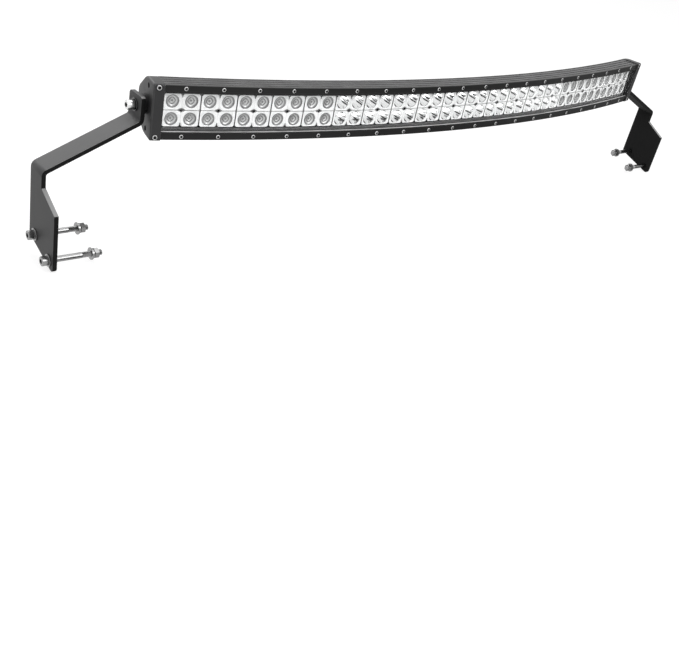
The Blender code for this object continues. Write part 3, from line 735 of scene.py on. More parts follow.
def mix_colours(tree, mask, first, second):
    """A colour between two, by a mask; each may be a colour or a socket."""
    node = add_node(tree, "ShaderNodeMix", data_type="RGBA")
    tree.links.new(mask, node.inputs["Factor"])
    for socket, colour in ((node.inputs[6], first), (node.inputs[7], second)):
        if isinstance(colour, bpy.types.NodeSocket):
            tree.links.new(colour, socket)
        else:
            socket.default_value = (*colour, 1.0)
    return node.outputs[2]


def between(tree, mask, low, high):
    """A value between two, by a mask."""
    node = add_node(tree, "ShaderNodeMapRange", {"To Min": low, "To Max": high})
    tree.links.new(mask, node.inputs["Value"])
    return node.outputs[0]


def feed(tree, shader, **sources):
    """Link sockets to the shader's inputs of the same names."""
    for name, source in sources.items():
        tree.links.new(source, shader.inputs[name.replace("_", " ").title()])


def mixed_surface(tree, mask, first, second):
    """Show one of two shaders, by a mask."""
    mix = add_node(tree, "ShaderNodeMixShader")
    tree.links.new(mask, mix.inputs["Fac"])
    tree.links.new(first.outputs[0], mix.inputs[1])
    tree.links.new(second.outputs[0], mix.inputs[2])
    tree.links.new(mix.outputs[0], tree.nodes["Material Output"].inputs["Surface"])


def bumped(tree, shader, height, depth, strength=0.5):
    """Feed a height to the shader's normal."""
    bump = add_node(tree, "ShaderNodeBump", {"Distance": depth, "Strength": strength})
    tree.links.new(height, bump.inputs["Height"])
    tree.links.new(bump.outputs[0], shader.inputs["Normal"])


def black_extrusion(name, dark, light, worn_and_highlight_colour, wear_and_highlight_amount, gloss):
    """Satin black anodised extrusion with die lines, lightened edges and raw cut ends: rubbed wear on the
    housing's edges, a painted highlight on the bezel strip's lower chamfer.
    """
    material, tree, shader = new_material(name)
    grain = use_group(tree, GRAIN, grain_size=0.35, cloud_size=60.0)
    lines = use_group(tree, DRAWN_LINES, line_width=0.7)["Height"]
    wear = use_group(tree, EDGE_WEAR_AND_HIGHLIGHT, amount=wear_and_highlight_amount, patch_size=30.0)["Mask"]
    black = mix_colours(tree, grain["Cloud"], dark, light)
    # Edge lightening: rubbed wear on the housing, a painted highlight on the bezel strip's lower chamfer.
    worn = mix_colours(tree, wear, black, worn_and_highlight_colour)
    cut = mix_colours(tree, attribute(tree, "cut"), worn, grey(0.55))
    tree.links.new(cut, shader.inputs["Base Color"])
    tree.links.new(between(tree, lines, 0.30, 0.42), shader.inputs["Roughness"])
    shader.inputs["Specular IOR Level"].default_value = gloss
    bumped(tree, shader, lines, 0.02 * MM, 0.08)
    return material


def black_casting():
    """Black painted die casting with a fine sandy grain."""
    material, tree, shader = new_material("black painted casting")
    grain = use_group(tree, GRAIN, grain_size=0.6, cloud_size=25.0)
    wear = use_group(tree, EDGE_WEAR_AND_HIGHLIGHT, amount=0.45, patch_size=9.0)["Mask"]
    black = mix_colours(tree, grain["Cloud"], (0.020, 0.020, 0.021), (0.036, 0.036, 0.037))
    tree.links.new(mix_colours(tree, wear, black, grey(0.17)), shader.inputs["Base Color"])
    tree.links.new(between(tree, grain["Cloud"], 0.38, 0.52), shader.inputs["Roughness"])
    shader.inputs["Specular IOR Level"].default_value = 0.4
    bumped(tree, shader, grain["Height"], 0.06 * MM, 0.4)
    return material


def black_powder_coat():
    """Black powder coat, greyed by its grain on the flats, with rubbed edges; painted shade makes the
    strip's front and rear edges and inner faces near black, and a painted highlight lightens its up-facing
    front ledges.
    """
    material, tree, shader = new_material("black powder coat")
    grain = use_group(tree, GRAIN, grain_size=0.9, cloud_size=45.0)
    wear = use_group(tree, EDGE_WEAR_AND_HIGHLIGHT, amount=0.35, patch_size=11.0)["Mask"]
    flat = mix_colours(tree, grain["Cloud"], (0.072, 0.072, 0.073), (0.092, 0.092, 0.093))
    worn = mix_colours(tree, wear, flat, grey(0.22))
    # Painted shade: faces marked rim, the strip's front and rear edges and inner faces, are made near black.
    edge = mix_colours(tree, attribute(tree, "rim"), worn, grey(0.008))
    # Painted highlight: the up-facing front ledges are made light grey.
    feed(tree, shader, base_color=mix_colours(tree, attribute(tree, "highlit_ledge"), edge, grey(0.34)),
         roughness=between(tree, attribute(tree, "rim"), 0.5, 0.9))
    shader.inputs["Specular IOR Level"].default_value = 0.25
    bumped(tree, shader, grain["Height"], 0.08 * MM, 0.45)
    return material


def bright_steel(name, colour, dark, roughness=0.24, metallic=1.0):
    """Plated or blackened steel with a fine grain, and painted shade that darkens its recesses."""
    material, tree, shader = new_material(name)
    grain = use_group(tree, GRAIN, grain_size=0.5, cloud_size=6.0)
    lighter = mix_colours(tree, grain["Cloud"], [0.82 * c for c in colour], colour)
    # Painted shade: faces marked recess, such as sockets, take the dark colour.
    shade = mix_colours(tree, attribute(tree, "recess"), lighter, dark)
    feed(tree, shader, base_color=shade,
         roughness=between(tree, grain["Height"], roughness - 0.08, roughness + 0.08))
    shader.inputs["Metallic"].default_value = metallic
    bumped(tree, shader, grain["Height"], 0.02 * MM, 0.3)
    return material


def chrome_reflector():
    """Metallised cups with the slight ripple of the moulding, in a satin plate made white and nearly
    non-metal as a painted reflection; painted shade darkens the rolled-back cell borders.
    """
    material, tree, shader = new_material("metallised reflector")
    grain = use_group(tree, GRAIN, grain_size=5.0, cloud_size=18.0)
    cup = attribute(tree, "cup")
    silver = mix_colours(tree, grain["Cloud"], grey(0.90), grey(0.97))
    # Painted shade: the rolled-back cell borders, marked recess, are darkened.
    shade = mix_colours(tree, attribute(tree, "recess"), silver, grey(0.04))
    tree.links.new(shade, shader.inputs["Base Color"])
    tree.links.new(between(tree, cup, 0.38, 0.06), shader.inputs["Roughness"])
    # Painted reflection: the flat plate gets little metal, so its white stands in for bright surroundings
    # mirrored in it.
    tree.links.new(between(tree, cup, 0.1, 1.0), shader.inputs["Metallic"])
    bumped(tree, shader, grain["Height"], 0.05 * MM, 0.08)
    return material


def satin_flood_facets():
    """Satin metal of the faceted flood discs, with alternate rings of facets made darker as painted shade
    for their differing reflections.
    """
    material, tree, shader = new_material("satin flood facets")
    grain = use_group(tree, GRAIN, grain_size=0.5, cloud_size=9.0)
    satin = mix_colours(tree, grain["Cloud"], grey(0.52), grey(0.64))
    # Painted shade: alternate rings of facets, marked step, are made darker.
    stepped = mix_colours(tree, attribute(tree, "step"), satin, grey(0.29))
    tree.links.new(stepped, shader.inputs["Base Color"])
    tree.links.new(between(tree, grain["Height"], 0.38, 0.50), shader.inputs["Roughness"])
    shader.inputs["Metallic"].default_value = 1.0
    bumped(tree, shader, grain["Height"], 0.05 * MM, 0.4)
    return material


def clear_lens():
    """Clear polycarbonate that lets the lamps through."""
    material, tree, shader = new_material("clear polycarbonate")
    grain = use_group(tree, GRAIN, grain_size=30.0, cloud_size=90.0)
    tree.links.new(between(tree, grain["Cloud"], 0.01, 0.04), shader.inputs["Roughness"])
    shader.inputs["Base Color"].default_value = (0.985, 0.99, 0.99, 1.0)
    shader.inputs["Transmission Weight"].default_value = 1.0
    shader.inputs["IOR"].default_value = 1.2
    clear = add_node(tree, "ShaderNodeBsdfTransparent")
    path = add_node(tree, "ShaderNodeLightPath")
    mixed_surface(tree, path.outputs["Is Shadow Ray"], shader, clear)
    return material


def dull_plastic(name, dark, light, roughness):
    """A moulded black plastic or rubber with a fine grain."""
    material, tree, shader = new_material(name)
    grain = use_group(tree, GRAIN, grain_size=0.4, cloud_size=12.0)
    feed(tree, shader, base_color=mix_colours(tree, grain["Cloud"], dark, light),
         roughness=between(tree, grain["Height"], roughness - 0.08, roughness + 0.08))
    bumped(tree, shader, grain["Height"], 0.04 * MM, 0.4)
    return material


def light_board_white():
    """White solder mask of the light boards."""
    material, tree, shader = new_material("white solder mask")
    grain = use_group(tree, GRAIN, grain_size=0.8, cloud_size=15.0)
    tree.links.new(mix_colours(tree, grain["Cloud"], (0.70, 0.70, 0.68), (0.80, 0.80, 0.78)),
                   shader.inputs["Base Color"])
    tree.links.new(between(tree, grain["Height"], 0.45, 0.6), shader.inputs["Roughness"])
    bumped(tree, shader, grain["Height"], 0.02 * MM, 0.3)
    return material


def emitter_resin():
    """Pale resin over each emitter, on a ceramic base painted near black as painted shade at the foot of its
    cup.
    """
    material, tree, shader = new_material("emitter resin")
    grain = use_group(tree, GRAIN, grain_size=0.6, cloud_size=4.0)
    resin = mix_colours(tree, grain["Cloud"], (0.62, 0.60, 0.50), (0.74, 0.72, 0.62))
    # Painted shade: the base, marked recess, is made near black.
    tree.links.new(mix_colours(tree, attribute(tree, "recess"), resin, grey(0.03)),
                   shader.inputs["Base Color"])
    tree.links.new(between(tree, grain["Height"], 0.2, 0.35), shader.inputs["Roughness"])
    return material


EXTRUSION = black_extrusion("black anodised extrusion", (0.018, 0.018, 0.019), (0.030, 0.030, 0.031),
                            grey(0.36), 1.1, 0.4)
# The strip's light grey edge colour and large amount give a painted highlight along the lower chamfer.
BEZEL_STRIP = black_extrusion("black anodised strip", grey(0.020), grey(0.028),
                              grey(0.8), 1.6, 0.18)
CASTING = black_casting()
POWDER_COAT = black_powder_coat()
ZINC_STEEL = bright_steel("zinc-plated steel", grey(0.34), grey(0.02))
BRIGHT_STEEL = bright_steel("chromed bolts", grey(0.92), grey(0.03))
DARK_STEEL = bright_steel("blackened washers", grey(0.16), grey(0.02))
SCREW_STEEL = bright_steel("stainless screw heads", grey(0.95), grey(0.01), 0.42, 0.6)
DARK_SCREW = bright_steel("blackened screws", grey(0.24), grey(0.01), 0.5, 0.4)
CHROME = chrome_reflector()
FLOOD_FACETS = satin_flood_facets()
LENS = clear_lens()
RUBBER = dull_plastic("grey silicone rubber", grey(0.08), grey(0.11), 0.6)
NYLON = dull_plastic("black nylon", grey(0.018), grey(0.03), 0.5)
BOARD = light_board_white()
RESIN = emitter_resin()


# The bar

def fin_tip(height):
    """Depth of the fin tips at a height."""
    slope = (HOUSING_DEPTH - SHOULDER_DEPTH) / (HALF_HEIGHT - HALF_BACK_FLAT)
    return HOUSING_DEPTH - max(0.0, abs(height) - HALF_BACK_FLAT) * slope


def housing_outline():
    """Section of the extrusion: lens seat, ribbed wall, web and fins, with small rounds."""
    small = 0.25 * MM
    upper = [(WEB_FRONT, HALF_POCKET, 1.0 * MM), (LEDGE_BACK, HALF_POCKET, small),
             (LEDGE_BACK, HALF_WINDOW, small), (SEAT, HALF_WINDOW, small), (SEAT, HALF_POCKET, small),
             (LENS_FRONT, HALF_POCKET, small), (LENS_FRONT, HALF_HEIGHT, 0.4 * MM)]
    for ridge in range(RIDGE_COUNT):
        groove = SHOULDER_DEPTH - RIDGE_FROM_BACK - (RIDGE_COUNT - 1 - ridge) * RIDGE_PITCH
        floor = HALF_HEIGHT - GROOVE_DEPTH
        upper += [(groove, HALF_HEIGHT, 0.45 * MM), (groove, floor, 0.6 * MM),
                  (groove + GROOVE_WIDTH, floor, 0.6 * MM), (groove + GROOVE_WIDTH, HALF_HEIGHT, 0.45 * MM)]
    slope = (HOUSING_DEPTH - SHOULDER_DEPTH) / (HALF_HEIGHT - HALF_BACK_FLAT)
    upper += [(SHOULDER_DEPTH, HALF_HEIGHT, 1.2 * MM),
              (WEB_BACK, HALF_HEIGHT - (WEB_BACK - SHOULDER_DEPTH) / slope, 0.6 * MM)]
    fins = []
    for fin in range(FIN_COUNT):
        middle = ((FIN_COUNT - 1) / 2 - fin) * FIN_PITCH
        high = middle + FIN_THICKNESS / 2
        low = middle - FIN_THICKNESS / 2
        fins += [(WEB_BACK, high, 1.0 * MM), (fin_tip(high), high, 0.8 * MM),
                 (fin_tip(low), low, 0.8 * MM), (WEB_BACK, low, 1.0 * MM)]
    return rounded(upper + fins + [(n, -z, r) for n, z, r in reversed(upper)])


def add_housing():
    """The finned extrusion, with the milled pocket for the gland and the breather."""
    housing = swept("housing", housing_outline(), -HALF_LENGTH, HALF_LENGTH)
    low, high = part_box("gland_nut")
    gland = (low + high) / 2
    low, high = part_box("breather_vent")
    vent = (low + high) / 2
    middle = FRONT_RADIUS * math.asin((gland.x + vent.x) / 2 / (FRONT_RADIUS - WEB_BACK))
    outline = rounded(rectangle(*POCKET_SIZE, POCKET_CORNER), 5)
    depth = HOUSING_DEPTH - WEB_BACK + CUT_MARGIN
    turn = axes((1, 0, 0), (0, 0, 1), (0, 1, 0), (0, depth / 2 + FIT_GAP, 0))
    pocket = prism(outline, depth, bar_matrix(middle, WEB_BACK) @ turn)
    housing = carve(housing, pocket)
    piece("finned_housing", smooth(housing), EXTRUSION, "bar", "black_extrusion", "housing")


def add_bezels():
    """The two strips that clamp the lens, with a shallow channel for their screws."""
    half = [(0, HALF_HEIGHT, 0.7 * MM), (0, CHANNEL_TOP, 0.2 * MM), (CHANNEL_DEPTH, CHANNEL_TOP, 0.2 * MM),
            (CHANNEL_DEPTH, CHANNEL_BOTTOM, 0.2 * MM), (0, CHANNEL_BOTTOM, 0.3 * MM),
            (0, BEZEL_FACE, 0.3 * MM), (CHAMFER_BACK / 2, (BEZEL_FACE + BEZEL_INNER) / 2, 0),
            (CHAMFER_BACK, BEZEL_INNER, 0.6 * MM),
            (BEZEL_BACK, BEZEL_INNER, 0.2 * MM), (BEZEL_BACK, HALF_HEIGHT, 0.3 * MM)]
    reach = HALF_LENGTH - FIT_GAP
    for name, up in (("top", 1), ("bottom", -1)):
        outline = rounded([(n, up * z, r) for n, z, r in half])
        # Only the inner half of the lower chamfer is marked, and the strip's finish paints a highlight
        # there.
        outline = [(n, z, up < 0 and CHAMFER_BACK / 2 <= n < CHAMFER_BACK and abs(z) < BEZEL_FACE)
                   for n, z, _ in outline]
        strip = swept(name, outline, -reach, reach)
        piece(f"bezel_strip_{name}", smooth(strip), BEZEL_STRIP, "bar", "black_extrusion", f"bezel_{name}")


def add_lens():
    """The curved clear lens, and the gasket's own finish."""
    outline = slab(LENS_FRONT, LENS_BACK, HALF_LENS, 0.4 * MM)
    reach = HALF_LENGTH - FIT_GAP
    piece("front_lens", smooth(swept("lens", outline, -reach, reach)), LENS, "bar", "clear_lens", "lens")
    refinish("lens_gasket", RUBBER)


def cell_reach(direction):
    """Distance from a cup's centre to its cell's border, and how far the border is rolled back there."""
    outer_x = (MODULE_PITCH - MODULE_GAP) / 2 - CUP_COLUMN
    outer_z = HALF_REFLECTOR - CUP_ROW
    start = Vector((CUP_COLUMN, CUP_ROW))
    diagonal = Vector((1, 1)).normalized()
    other = Vector((-1, 1)).normalized()
    corner = Vector((outer_x, outer_z)).dot(diagonal) - CELL_CHAMFER / math.sqrt(2)
    notch = Vector((-CUP_COLUMN, outer_z)).dot(other) - CELL_CHAMFER / math.sqrt(2)
    borders = [(Vector((1, 0)), outer_x, 2 * CELL_ROLL), (Vector((0, 1)), outer_z, 2 * CELL_ROLL),
               (Vector((-1, 0)), CUP_COLUMN, COLUMN_LINE), (Vector((0, -1)), CUP_ROW, ROW_LINE),
               (diagonal, corner, 2 * CELL_ROLL), (other, notch, 2 * CELL_ROLL)]
    reach, roll = min((limit / direction.dot(normal), drop) for normal, limit, drop in borders
                      if direction.dot(normal) > 1e-6)
    if (start + direction * reach).length < SCREW_HOLE:
        along = start.dot(direction)
        reach = -along - math.sqrt(along ** 2 - start.length_squared + SCREW_HOLE ** 2)
        roll = ROW_LINE
    return reach, roll


def walled(surface):
    """A reflector surface turned to the front, with its wall behind it."""
    if surface.polygons[0].normal.y > 0:
        surface.flip_normals()
    return thickened(surface, REFLECTOR_WALL)


def module_mesh(cup):
    """Four cells of a reflector module on local Y = 0, each a plate round a cup of (radius, depth) rings."""
    def build(bm):
        bright = bm.faces.layers.float.new("cup")
        recess = bm.faces.layers.float.new("recess")
        for side, up in ((1, 1), (-1, 1), (1, -1), (-1, -1)):
            columns, rolls = [], []
            for step in range(CUP_AROUND):
                angle = 2 * math.pi * step / CUP_AROUND
                direction = Vector((math.cos(angle), math.sin(angle)))
                reach, roll = cell_reach(direction)
                rolls.append(roll)
                mouth = cup[0][0] + CUP_LIP
                rings = [(reach, roll), (max(reach - CELL_ROLL, mouth + 0.1 * MM), 0.0), (mouth, 0.0)] + cup
                columns.append([bm.verts.new((side * (CUP_COLUMN + direction.x * radius), depth,
                                              up * (CUP_ROW + direction.y * radius)))
                                for radius, depth in rings])
            for step in range(CUP_AROUND):
                here, after = columns[step], columns[(step + 1) % CUP_AROUND]
                for ring in range(len(here) - 1):
                    face = bm.faces.new((here[ring], after[ring], after[ring + 1], here[ring + 1]))
                    face[bright] = float(ring > 2)
                    # The border ring is marked recess by how far it rolls back, for painted shade between
                    # the cells.
                    face[recess] = rolls[step] / (2 * CELL_ROLL) if ring == 0 else 0.0
    surface = mesh_from("module", build)
    return smooth(walled(surface), 50)


def spot_cup():
    """Rings of a deep parabolic cup."""
    focal = (SPOT_MOUTH ** 2 - SPOT_THROAT ** 2) / SPOT_DEPTH
    vertex = SPOT_MOUTH ** 2 / focal
    rings = [(SPOT_MOUTH, 0.35 * MM)]
    for share in (0.1, 0.22, 0.36, 0.52, 0.68, 0.84, 1.0):
        depth = SPOT_DEPTH * share
        rings.append((math.sqrt(focal * (vertex - depth)), depth))
    return rings


def flood_cup():
    """Rings of a short collar round a flood disc."""
    return [(FLOOD_MOUTH, 0.3 * MM), (FLOOD_MOUTH - 0.1 * MM, 1.2 * MM), (DISC_RADIUS + 0.1 * MM, 4 * MM)]


def disc_point(a, b):
    """Place on a flood disc of a lattice point from -1 to 1: nested squares that round out to the rim."""
    ring = max(abs(a), abs(b))
    if ring == 0:
        return Vector((0, 0)), 0.0
    turn = math.pi / 4
    if abs(a) >= abs(b):
        angle = turn * b / a + (math.pi if a < 0 else 0.0)
    else:
        angle = math.pi / 2 - turn * a / b + (math.pi if b < 0 else 0.0)
    circle = Vector((math.cos(angle), math.sin(angle))) * ring
    square = Vector((a, b)) * 0.8
    return square.lerp(circle, ring), ring


def disc_mesh():
    """A flood disc: a shallow dish of flat facets in nested steps, turned by an eighth."""
    def build(bm):
        step = bm.faces.layers.float.new("step")
        grid = {}
        half = DISC_CELLS // 2
        for i in range(-half, half + 1):
            for j in range(-half, half + 1):
                place, ring = disc_point(i / half, j / half)
                place = Matrix.Rotation(math.pi / 4, 2) @ place * DISC_RADIUS
                number = max(abs(i), abs(j))
                depth = DISC_SETBACK + DISC_BOWL * (1 - ring ** 2) + DISC_STEP * (number % 2)
                grid[i, j] = bm.verts.new((place.x, depth, place.y))
        for i in range(-half, half):
            for j in range(-half, half):
                face = bm.faces.new((grid[i, j], grid[i + 1, j], grid[i + 1, j + 1], grid[i, j + 1]))
                # Alternate rings of facets are marked for painted shade in their material.
                face[step] = float(max(abs(i + 0.5), abs(j + 0.5)) % 2 < 1)
    surface = mesh_from("disc", build)
    return walled(surface)


def add_reflectors():
    """The metallised modules, flood at both ends and spot between, and the flood discs."""
    names = [f"reflector_{number + 1:02d}" for number in range(MODULE_COUNT)]
    flood_names = names[:FLOOD_MODULES_PER_END] + names[-FLOOD_MODULES_PER_END:]
    spot_names = names[FLOOD_MODULES_PER_END:-FLOOD_MODULES_PER_END]
    flood = along_bar(module_mesh(flood_cup()), CHROME, count=MODULE_COUNT, depth=REFLECTOR_FRONT,
                      to_end=FLOOD_MODULES_PER_END)
    spot = along_bar(module_mesh(spot_cup()), CHROME, count=MODULE_COUNT, depth=REFLECTOR_FRONT,
                     from_end=FLOOD_MODULES_PER_END)
    discs = along_bar(disc_mesh(), FLOOD_FACETS, count=2 * MODULE_COUNT, rows=2, pitch=2 * CUP_COLUMN,
                      depth=REFLECTOR_FRONT, height=-CUP_ROW, row_spacing=2 * CUP_ROW,
                      to_end=2 * FLOOD_MODULES_PER_END)
    piece("flood_reflectors", flood, CHROME, "bar", "chromed_reflector", *flood_names)
    piece("spot_reflectors", spot, CHROME, "bar", "chromed_reflector", *spot_names)
    piece("flood_discs", discs, FLOOD_FACETS, "bar", "chromed_reflector")


def emitter_mesh():
    """An emitter on its ceramic base, its front towards local -Y."""
    base = prism(rounded(rectangle(EMITTER_SIZE, EMITTER_SIZE, 0.4 * MM)), 0.7 * MM,
                 axes((1, 0, 0), (0, 0, 1), (0, -1, 0), (0, -0.35 * MM, 0)))
    # The whole base is marked recess, for painted shade in the resin material.
    dark = base.attributes.new("recess", "FLOAT", "FACE")
    for item in dark.data:
        item.value = 1.0
    dome = turned([(0, 1.2 * MM, ""), (0.9 * MM, 1.05 * MM, ""), (1.5 * MM, 0.7 * MM, ""),
                   (1.7 * MM, 0.2 * MM, ""), (0, 0.2 * MM, "")], 12)
    dome.transform(Matrix.Translation((0, -0.2 * MM, 0)) @ Matrix.Rotation(math.pi / 2, 4, "X"))
    return smooth(merged("emitter", [base, dome]))


def add_light_boards():
    """The two boards behind the reflectors and an emitter behind every cup."""
    outline = slab(BOARD_FRONT, BOARD_BACK, HALF_BOARD, 0)
    half = MODULE_COUNT * MODULE_PITCH / 2
    for name, start, end in (("left", -half, -FIT_GAP), ("right", FIT_GAP, half)):
        board = swept(name, outline, start, end, SWEEP_STEPS // 2)
        piece(f"board_{name}", smooth(board), BOARD, "bar", "white_board", f"light_board_{name}")
    emitters = along_bar(emitter_mesh(), RESIN, count=2 * MODULE_COUNT, rows=2, pitch=2 * CUP_COLUMN,
                         depth=BOARD_FRONT - FIT_GAP / 6, height=-CUP_ROW, row_spacing=2 * CUP_ROW)
    piece("emitters", emitters, RESIN, "bar", "white_board")


def button_screw(radius, height, around=18):
    """A low domed screw head with a six-sided recess, its front towards local -Y."""
    recess = 0.38 * radius

    def shape(reach, angle, level, span):
        if span != "recess":
            return reach
        sector = (angle + math.pi / 6) % (math.pi / 3) - math.pi / 6
        return reach * math.cos(math.pi / 6) / math.cos(sector)
    head = turned([(0, 0.25 * height, "recess"), (recess, 0.25 * height, "recess"),
                   (1.05 * recess, 0.97 * height, "recess"), (0.7 * radius, height, ""),
                   (0.92 * radius, 0.85 * height, ""), (radius, 0.55 * height, ""),
                   (radius, -0.4 * height, ""), (0, -0.4 * height, "")], around, radius_at=shape)
    head.transform(Matrix.Rotation(math.pi / 2, 4, "X"))
    return smooth(head, 40)


def add_bar_screws():
    """Screws of the bezels and of the reflector modules."""
    bezel = along_bar(button_screw(*BEZEL_SCREW), SCREW_STEEL, count=MODULE_COUNT, rows=2,
                      depth=CHANNEL_DEPTH, height=-BEZEL_SCREW_HEIGHT, row_spacing=2 * BEZEL_SCREW_HEIGHT)
    piece("bezel_screws", bezel, SCREW_STEEL, "bar", "zinc_steel")
    module = along_bar(button_screw(*MODULE_SCREW), DARK_SCREW, count=MODULE_COUNT,
                       depth=REFLECTOR_FRONT + MODULE_SCREW_SETBACK)
    piece("module_screws", module, DARK_SCREW, "bar", "zinc_steel")


# The ends

def cap_outline():
    """Outline of an end cap in depth and height."""
    top = HALF_HEIGHT + CAP_PROUD
    upper = [(-CAP_PROUD, top, CAP_CORNER_RADIUS), (SHOULDER_DEPTH, top, CAP_SHOULDER_RADIUS),
             (HOUSING_DEPTH + CAP_PROUD, HALF_BACK_FLAT, CAP_BACK_RADIUS)]
    return rounded([(n, -z, r) for n, z, r in upper] + list(reversed(upper)), 6)


def along_x(start, end, radius):
    """A cylinder along X through the pivot."""
    mesh = cylinder(radius, start, end)
    mesh.transform(PIVOT_LINE)
    return mesh


def cap_mesh():
    """The right end cap: rounded casting with a boss, side recesses and front corner recesses."""
    end = bar_matrix(HALF_LENGTH)
    tangent, back, up = (end.col[column].to_3d() for column in range(3))
    middle = end.translation + tangent * (FIT_GAP + CAP_WIDTH / 2)
    cap = prism(cap_outline(), CAP_WIDTH, axes(back, up, tangent, middle))

    def width_at(point):
        return CAP_OUTER_ROUND if (point - middle).dot(tangent) > 0 else CAP_INNER_ROUND
    cap = softened(cap, width_at, segments=4)
    boss_face = TAB_INNER - FIT_GAP
    face = middle + tangent * CAP_WIDTH / 2
    boss = turned([(0, boss_face, ""), (BOSS_RADIUS - BOSS_CHAMFER, boss_face, ""),
                   (BOSS_RADIUS, boss_face - BOSS_CHAMFER, ""), (BOSS_RADIUS, face.x - BOSS_ROOT, ""),
                   (0, face.x - BOSS_ROOT, "")])
    boss.transform(PIVOT_LINE)
    cap = carve(cap, boss, "UNION")
    cap = carve(cap, along_x(boss_face - BOSS_BORE_DEPTH, boss_face + CUT_MARGIN, FASTENER_BORE))
    for side in (-1, 1):
        place = face + back * CAP_SCREW_SETBACK + up * side * CAP_SCREW_HEIGHT
        hole = cylinder(CAP_RECESS_RADIUS, -CAP_RECESS_DEPTH, 5 * MM, 24)
        cap = carve(cap, moved(hole, axes(back, up, tangent, place)))
        place = middle - back * CAP_PROUD + up * side * CORNER_SCREW_HEIGHT
        hole = cylinder(CORNER_RECESS_RADIUS, -5 * MM, CORNER_RECESS_DEPTH, 24)
        cap = carve(cap, moved(hole, axes(up, tangent, back, place)))
    return smooth(cap, 30)


def cap_screw_places():
    """Places and turns of the front corner screws and of the screws in the side recesses."""
    front, side_screws = [], []
    for side in SIDES.values():
        angle = side * END_ANGLE
        end = bar_matrix(side * HALF_LENGTH)
        tangent, back, up = (end.col[column].to_3d() for column in range(3))
        middle = end.translation + tangent * side * (FIT_GAP + CAP_WIDTH / 2)
        face = middle + tangent * side * CAP_WIDTH / 2
        for level in (-1, 1):
            seat = back * (CORNER_RECESS_DEPTH - CAP_PROUD)
            front.append((middle + seat + up * level * CORNER_SCREW_HEIGHT, (0, 0, angle)))
            seat = back * CAP_SCREW_SETBACK - tangent * side * CAP_RECESS_DEPTH
            turn = (0, 0, angle + side * math.pi / 2)
            side_screws.append((face + seat + up * level * CAP_SCREW_HEIGHT, turn))
    return front, side_screws


def add_caps():
    """Both end castings and their screws."""
    cap = cap_mesh()
    piece("end_casting_right", cap, CASTING, "bar", "black_casting", "end_cap_right")
    piece("end_casting_left", mirrored(cap), CASTING, "bar", "black_casting", "end_cap_left")
    front, side_screws = cap_screw_places()
    corner = at_places(button_screw(*CORNER_SCREW, 24), SCREW_STEEL, front)
    piece("cap_corner_screws", corner, SCREW_STEEL, "bar", "zinc_steel")
    sunk = at_places(button_screw(*SIDE_SCREW), DARK_SCREW, side_screws)
    piece("cap_side_screws", sunk, DARK_SCREW, "bar", "zinc_steel")


def add_fittings():
    """The nylon finish of the cable gland, its crown nut and the breather plug."""
    for name in ("cable_gland", "gland_nut", "breather_vent"):
        refinish(name, NYLON)


# Brackets and fasteners

def bent_strip():
    """Side view of the right bracket's strip, as wide as the plate."""
    upper = [Vector((TAB_OUTER, TAB_ABOVE)), Vector((TAB_OUTER, -TAB_BELOW)),
             Vector((PLATE_OUTER, PLATE_TOP)), Vector((PLATE_OUTER, PLATE_TOP - PLATE_FRONT_EDGE))]
    arm = (upper[2] - upper[1]).normalized()
    arm_normal = Vector((arm.y, -arm.x))
    side = Vector((-1, 0))
    miter = (side + arm_normal) / (1 + side.dot(arm_normal))
    lower = [point + offset * STRIP_THICKNESS for point, offset in zip(upper, (side, miter, miter, side))]
    wide = BEND_RADIUS + STRIP_THICKNESS
    corners = [(*point, radius) for point, radius in zip(upper, (0, BEND_RADIUS, wide, 0))]
    corners += reversed([(*point, radius) for point, radius in zip(lower, (0, wide, BEND_RADIUS, 0))])
    origin = PIVOT + Vector((0, REAR_EDGE - PLATE_WIDTH / 2, 0))
    turn = axes((1, 0, 0), (0, 0, 1), (0, -1, 0), origin)
    return prism(rounded(corners, 10), PLATE_WIDTH + 2 * CUT_MARGIN, turn)


def strip_blank():
    """End view of a bracket: the strip, then the plate that flares to the front."""
    flare_top = PLATE_TOP - NECK_LENGTH
    corners = [(REAR_EDGE, TAB_ABOVE, TAB_CORNER), (-REAR_EDGE, TAB_ABOVE, TAB_CORNER),
               (-REAR_EDGE, flare_top, FLARE_RADIUS), (FRONT_EDGE, flare_top - FLARE_DROP, FLARE_RADIUS),
               (FRONT_EDGE, PLATE_TOP - PLATE_FRONT_EDGE, PLATE_CORNER),
               (REAR_EDGE, PLATE_TOP - PLATE_REAR_EDGE, PLATE_CORNER)]
    origin = PIVOT + Vector(((PLATE_OUTER + TAB_INNER) / 2, 0, 0))
    length = PLATE_OUTER - TAB_INNER + 2 * CUT_MARGIN
    return prism(rounded(corners, 7), length, axes((0, 1, 0), (0, 0, 1), (1, 0, 0), origin))


